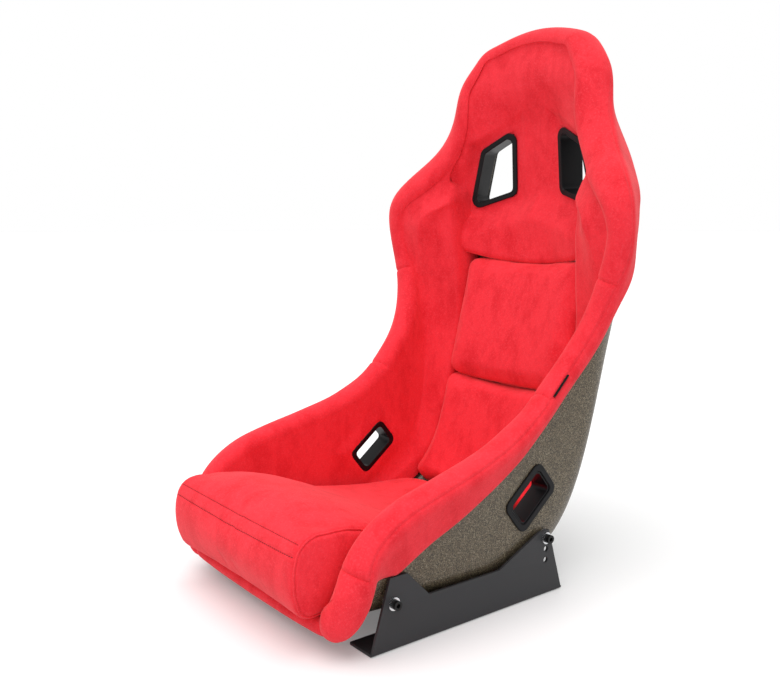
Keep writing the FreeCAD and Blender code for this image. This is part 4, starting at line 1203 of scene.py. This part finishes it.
def pad_cushion(name, body, u_range, half, thickness):
    """A back cushion: it follows the shell behind and is crowned in front, with rounded corners."""
    rows, columns = 46, 60
    p = np.linspace(-1, 1, rows)[:, None]
    q = np.linspace(-1, 1, columns)[None, :]
    p_full, q_full = np.broadcast_arrays(p, q)
    corner = (smooth((np.abs(p_full) - 0.78) / 0.22) * smooth((np.abs(q_full) - 0.8) / 0.2)) ** 2
    length = (u_range[1] - u_range[0]) / 2
    u = (u_range[0] + u_range[1]) / 2 + p_full * length * (1 - 0.045 * corner)
    x = q_full * half(u) * (1 - 0.035 * corner)
    t = np.sign(x) * t_at_x(u, np.abs(x))
    under = above_shell(u, t, 5.0)
    dome = (1 - np.abs(p_full) ** 14) ** 0.5 * (1 - np.abs(q_full) ** 18) ** 0.5
    crown = (1 - p_full ** 2) * (1 - q_full ** 2)
    height = 16 + (thickness - 16) * dome + 2.0 * crown
    over = above_shell(u, t, height)
    over[..., 0] = lerp(x, over[..., 0], 0.15)
    count = rows * columns
    verts = np.concatenate([over.reshape(-1, 3), under.reshape(-1, 3)])
    faces = []
    for i in range(rows - 1):
        for j in range(columns - 1):
            a, b = i * columns + j, (i + 1) * columns + j
            faces.append((a, a + 1, b + 1, b))
            faces.append((a + count, b + count, b + 1 + count, a + 1 + count))
    border = ([(i, 0) for i in range(rows)] + [(rows - 1, j) for j in range(1, columns)]
              + [(i, columns - 1) for i in range(rows - 2, -1, -1)] + [(0, j) for j in range(columns - 2, 0, -1)])
    ids = [i * columns + j for i, j in border]
    for a, b in zip(ids, ids[1:] + ids[:1]):
        faces.append((a, b, b + count, a + count))
    obj = new_object(name, verts, faces, SUEDE)
    fix_normals(obj)
    inflate(obj, 3.0, 5.0, voxel=4.5)
    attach(obj, body)
    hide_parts(name)
    return obj


def build_back_cushions():
    pad_cushion("lumbar_cushion", "lumbar_cushion_body", (6.3, 8.97),
                lambda u: lerp(165, 143, smooth((u - 6.4) / 2.3)), 44)
    pad_cushion("back_cushion", "back_cushion_body", (8.89, 10.575), lambda u: 141.5, 44)


# ---------------------------------------------------------------------------------------------------------
# The tag
# ---------------------------------------------------------------------------------------------------------
def build_tag():
    """A folded loop of blank tape that stands out of the long seam."""
    low, high = rows_between(5.62, 6.28)
    rows = np.arange(low, high + 1)
    path, normals = seam_rows(ROLL, rows, SEAM_COLUMN, 0.4)
    path, where = along_path(path, 1.5)
    normals = unit(sample(normals, where))
    rise = np.array((-1.0, 1.5, 4.0, 6.5, 8.6, 9.2, 8.6, 6.5, 4.0, 1.5, -1.0))
    spread_out = np.array((-0.8, -1.1, -1.4, -1.5, -1.1, 0.0, 1.1, 1.5, 1.4, 1.1, 0.8))
    run = unit(np.gradient(path, axis=0))
    side = np.cross(normals, run)
    grid = path[:, None] + normals[:, None] * rise[None, :, None] + side[:, None] * spread_out[None, :, None]
    tag = grid_solid("label_tag", grid, 0.6, FINISHES["tag_fabric"])
    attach(tag, "root")
    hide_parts("label_tag")


# ---------------------------------------------------------------------------------------------------------
# Studio
# ---------------------------------------------------------------------------------------------------------
def area_light(name, place, target, size, power, colour=(1, 1, 1)):
    light = bpy.data.lights.new(name, "AREA")
    light.shape = "DISK"
    light.size = size
    light.energy = power
    light.color = colour
    obj = bpy.data.objects.new(name, light)
    obj.location = place
    obj.rotation_euler = (Vector(target) - Vector(place)).to_track_quat("-Z", "Y").to_euler()
    bpy.context.scene.collection.objects.link(obj)


WORLD_LIGHT = 0.66
OVERHEAD_LIGHT = 2.05


def studio():
    scene = bpy.context.scene
    floor_half = 60.0
    floor = new_object("floor", np.array([(-1, -1, 0), (1, -1, 0), (1, 1, 0), (-1, 1, 0)]) * floor_half / MM,
                       [(0, 1, 2, 3)], floor_material(), shade_smooth=False)
    floor.location.z = -0.0006
    world = bpy.data.worlds.new("studio")
    world.use_nodes = True
    nodes, links = world.node_tree.nodes, world.node_tree.links
    path = nodes.new("ShaderNodeLightPath")
    level = nodes.new("ShaderNodeMapRange")
    level.inputs["To Min"].default_value = WORLD_LIGHT
    level.inputs["To Max"].default_value = 1.0
    links.new(path.outputs["Is Camera Ray"], level.inputs["Value"])
    background = nodes["Background"]
    background.inputs["Color"].default_value = (1.0, 1.0, 1.0, 1.0)
    links.new(level.outputs["Result"], background.inputs["Strength"])
    scene.world = world
    sun = bpy.data.lights.new("overhead", "SUN")
    sun.energy = OVERHEAD_LIGHT
    sun.angle = math.radians(60)
    lamp = bpy.data.objects.new("overhead", sun)
    lamp.rotation_euler = Vector((0.05, -0.3, 1.0)).to_track_quat("Z", "Y").to_euler()
    scene.collection.objects.link(lamp)
    middle = (0.0, 0.05, 0.4)
    area_light("key", (2.4, -1.7, 2.2), middle, 2.2, 9)
    area_light("rim", (-1.8, 1.6, 2.2), middle, 2.0, 12)
    camera = bpy.data.cameras.new("camera")
    camera.sensor_width = 36.0
    camera.lens = 40.66
    obj = bpy.data.objects.new("camera", camera)
    obj.location = (1.07267, -0.81752, 0.552)
    obj.rotation_euler = (math.radians(90 - 8.08), 0, math.radians(52.1))
    scene.collection.objects.link(obj)
    scene.camera = obj
    scene.view_settings.view_transform = "Standard"


def floor_material():
    """Pale, and lifted to white for the camera alone, so that it throws less light up at the seat."""
    s = Shader("studio_floor")
    seen = s.nodes.new("ShaderNodeLightPath").outputs["Is Camera Ray"]
    s.set(Base_Color=(0.78, 0.78, 0.78), Roughness=0.6, Specular_IOR_Level=0.1,
          Emission_Strength=s.sum(0.0, seen, 0.16), Emission_Color=(1.0, 1.0, 1.0))
    return s.material


finish_cad_nodes()
build_rolls()
build_panel(*build_linings())
build_base_cushion()
build_back_cushions()
build_tag()
studio()
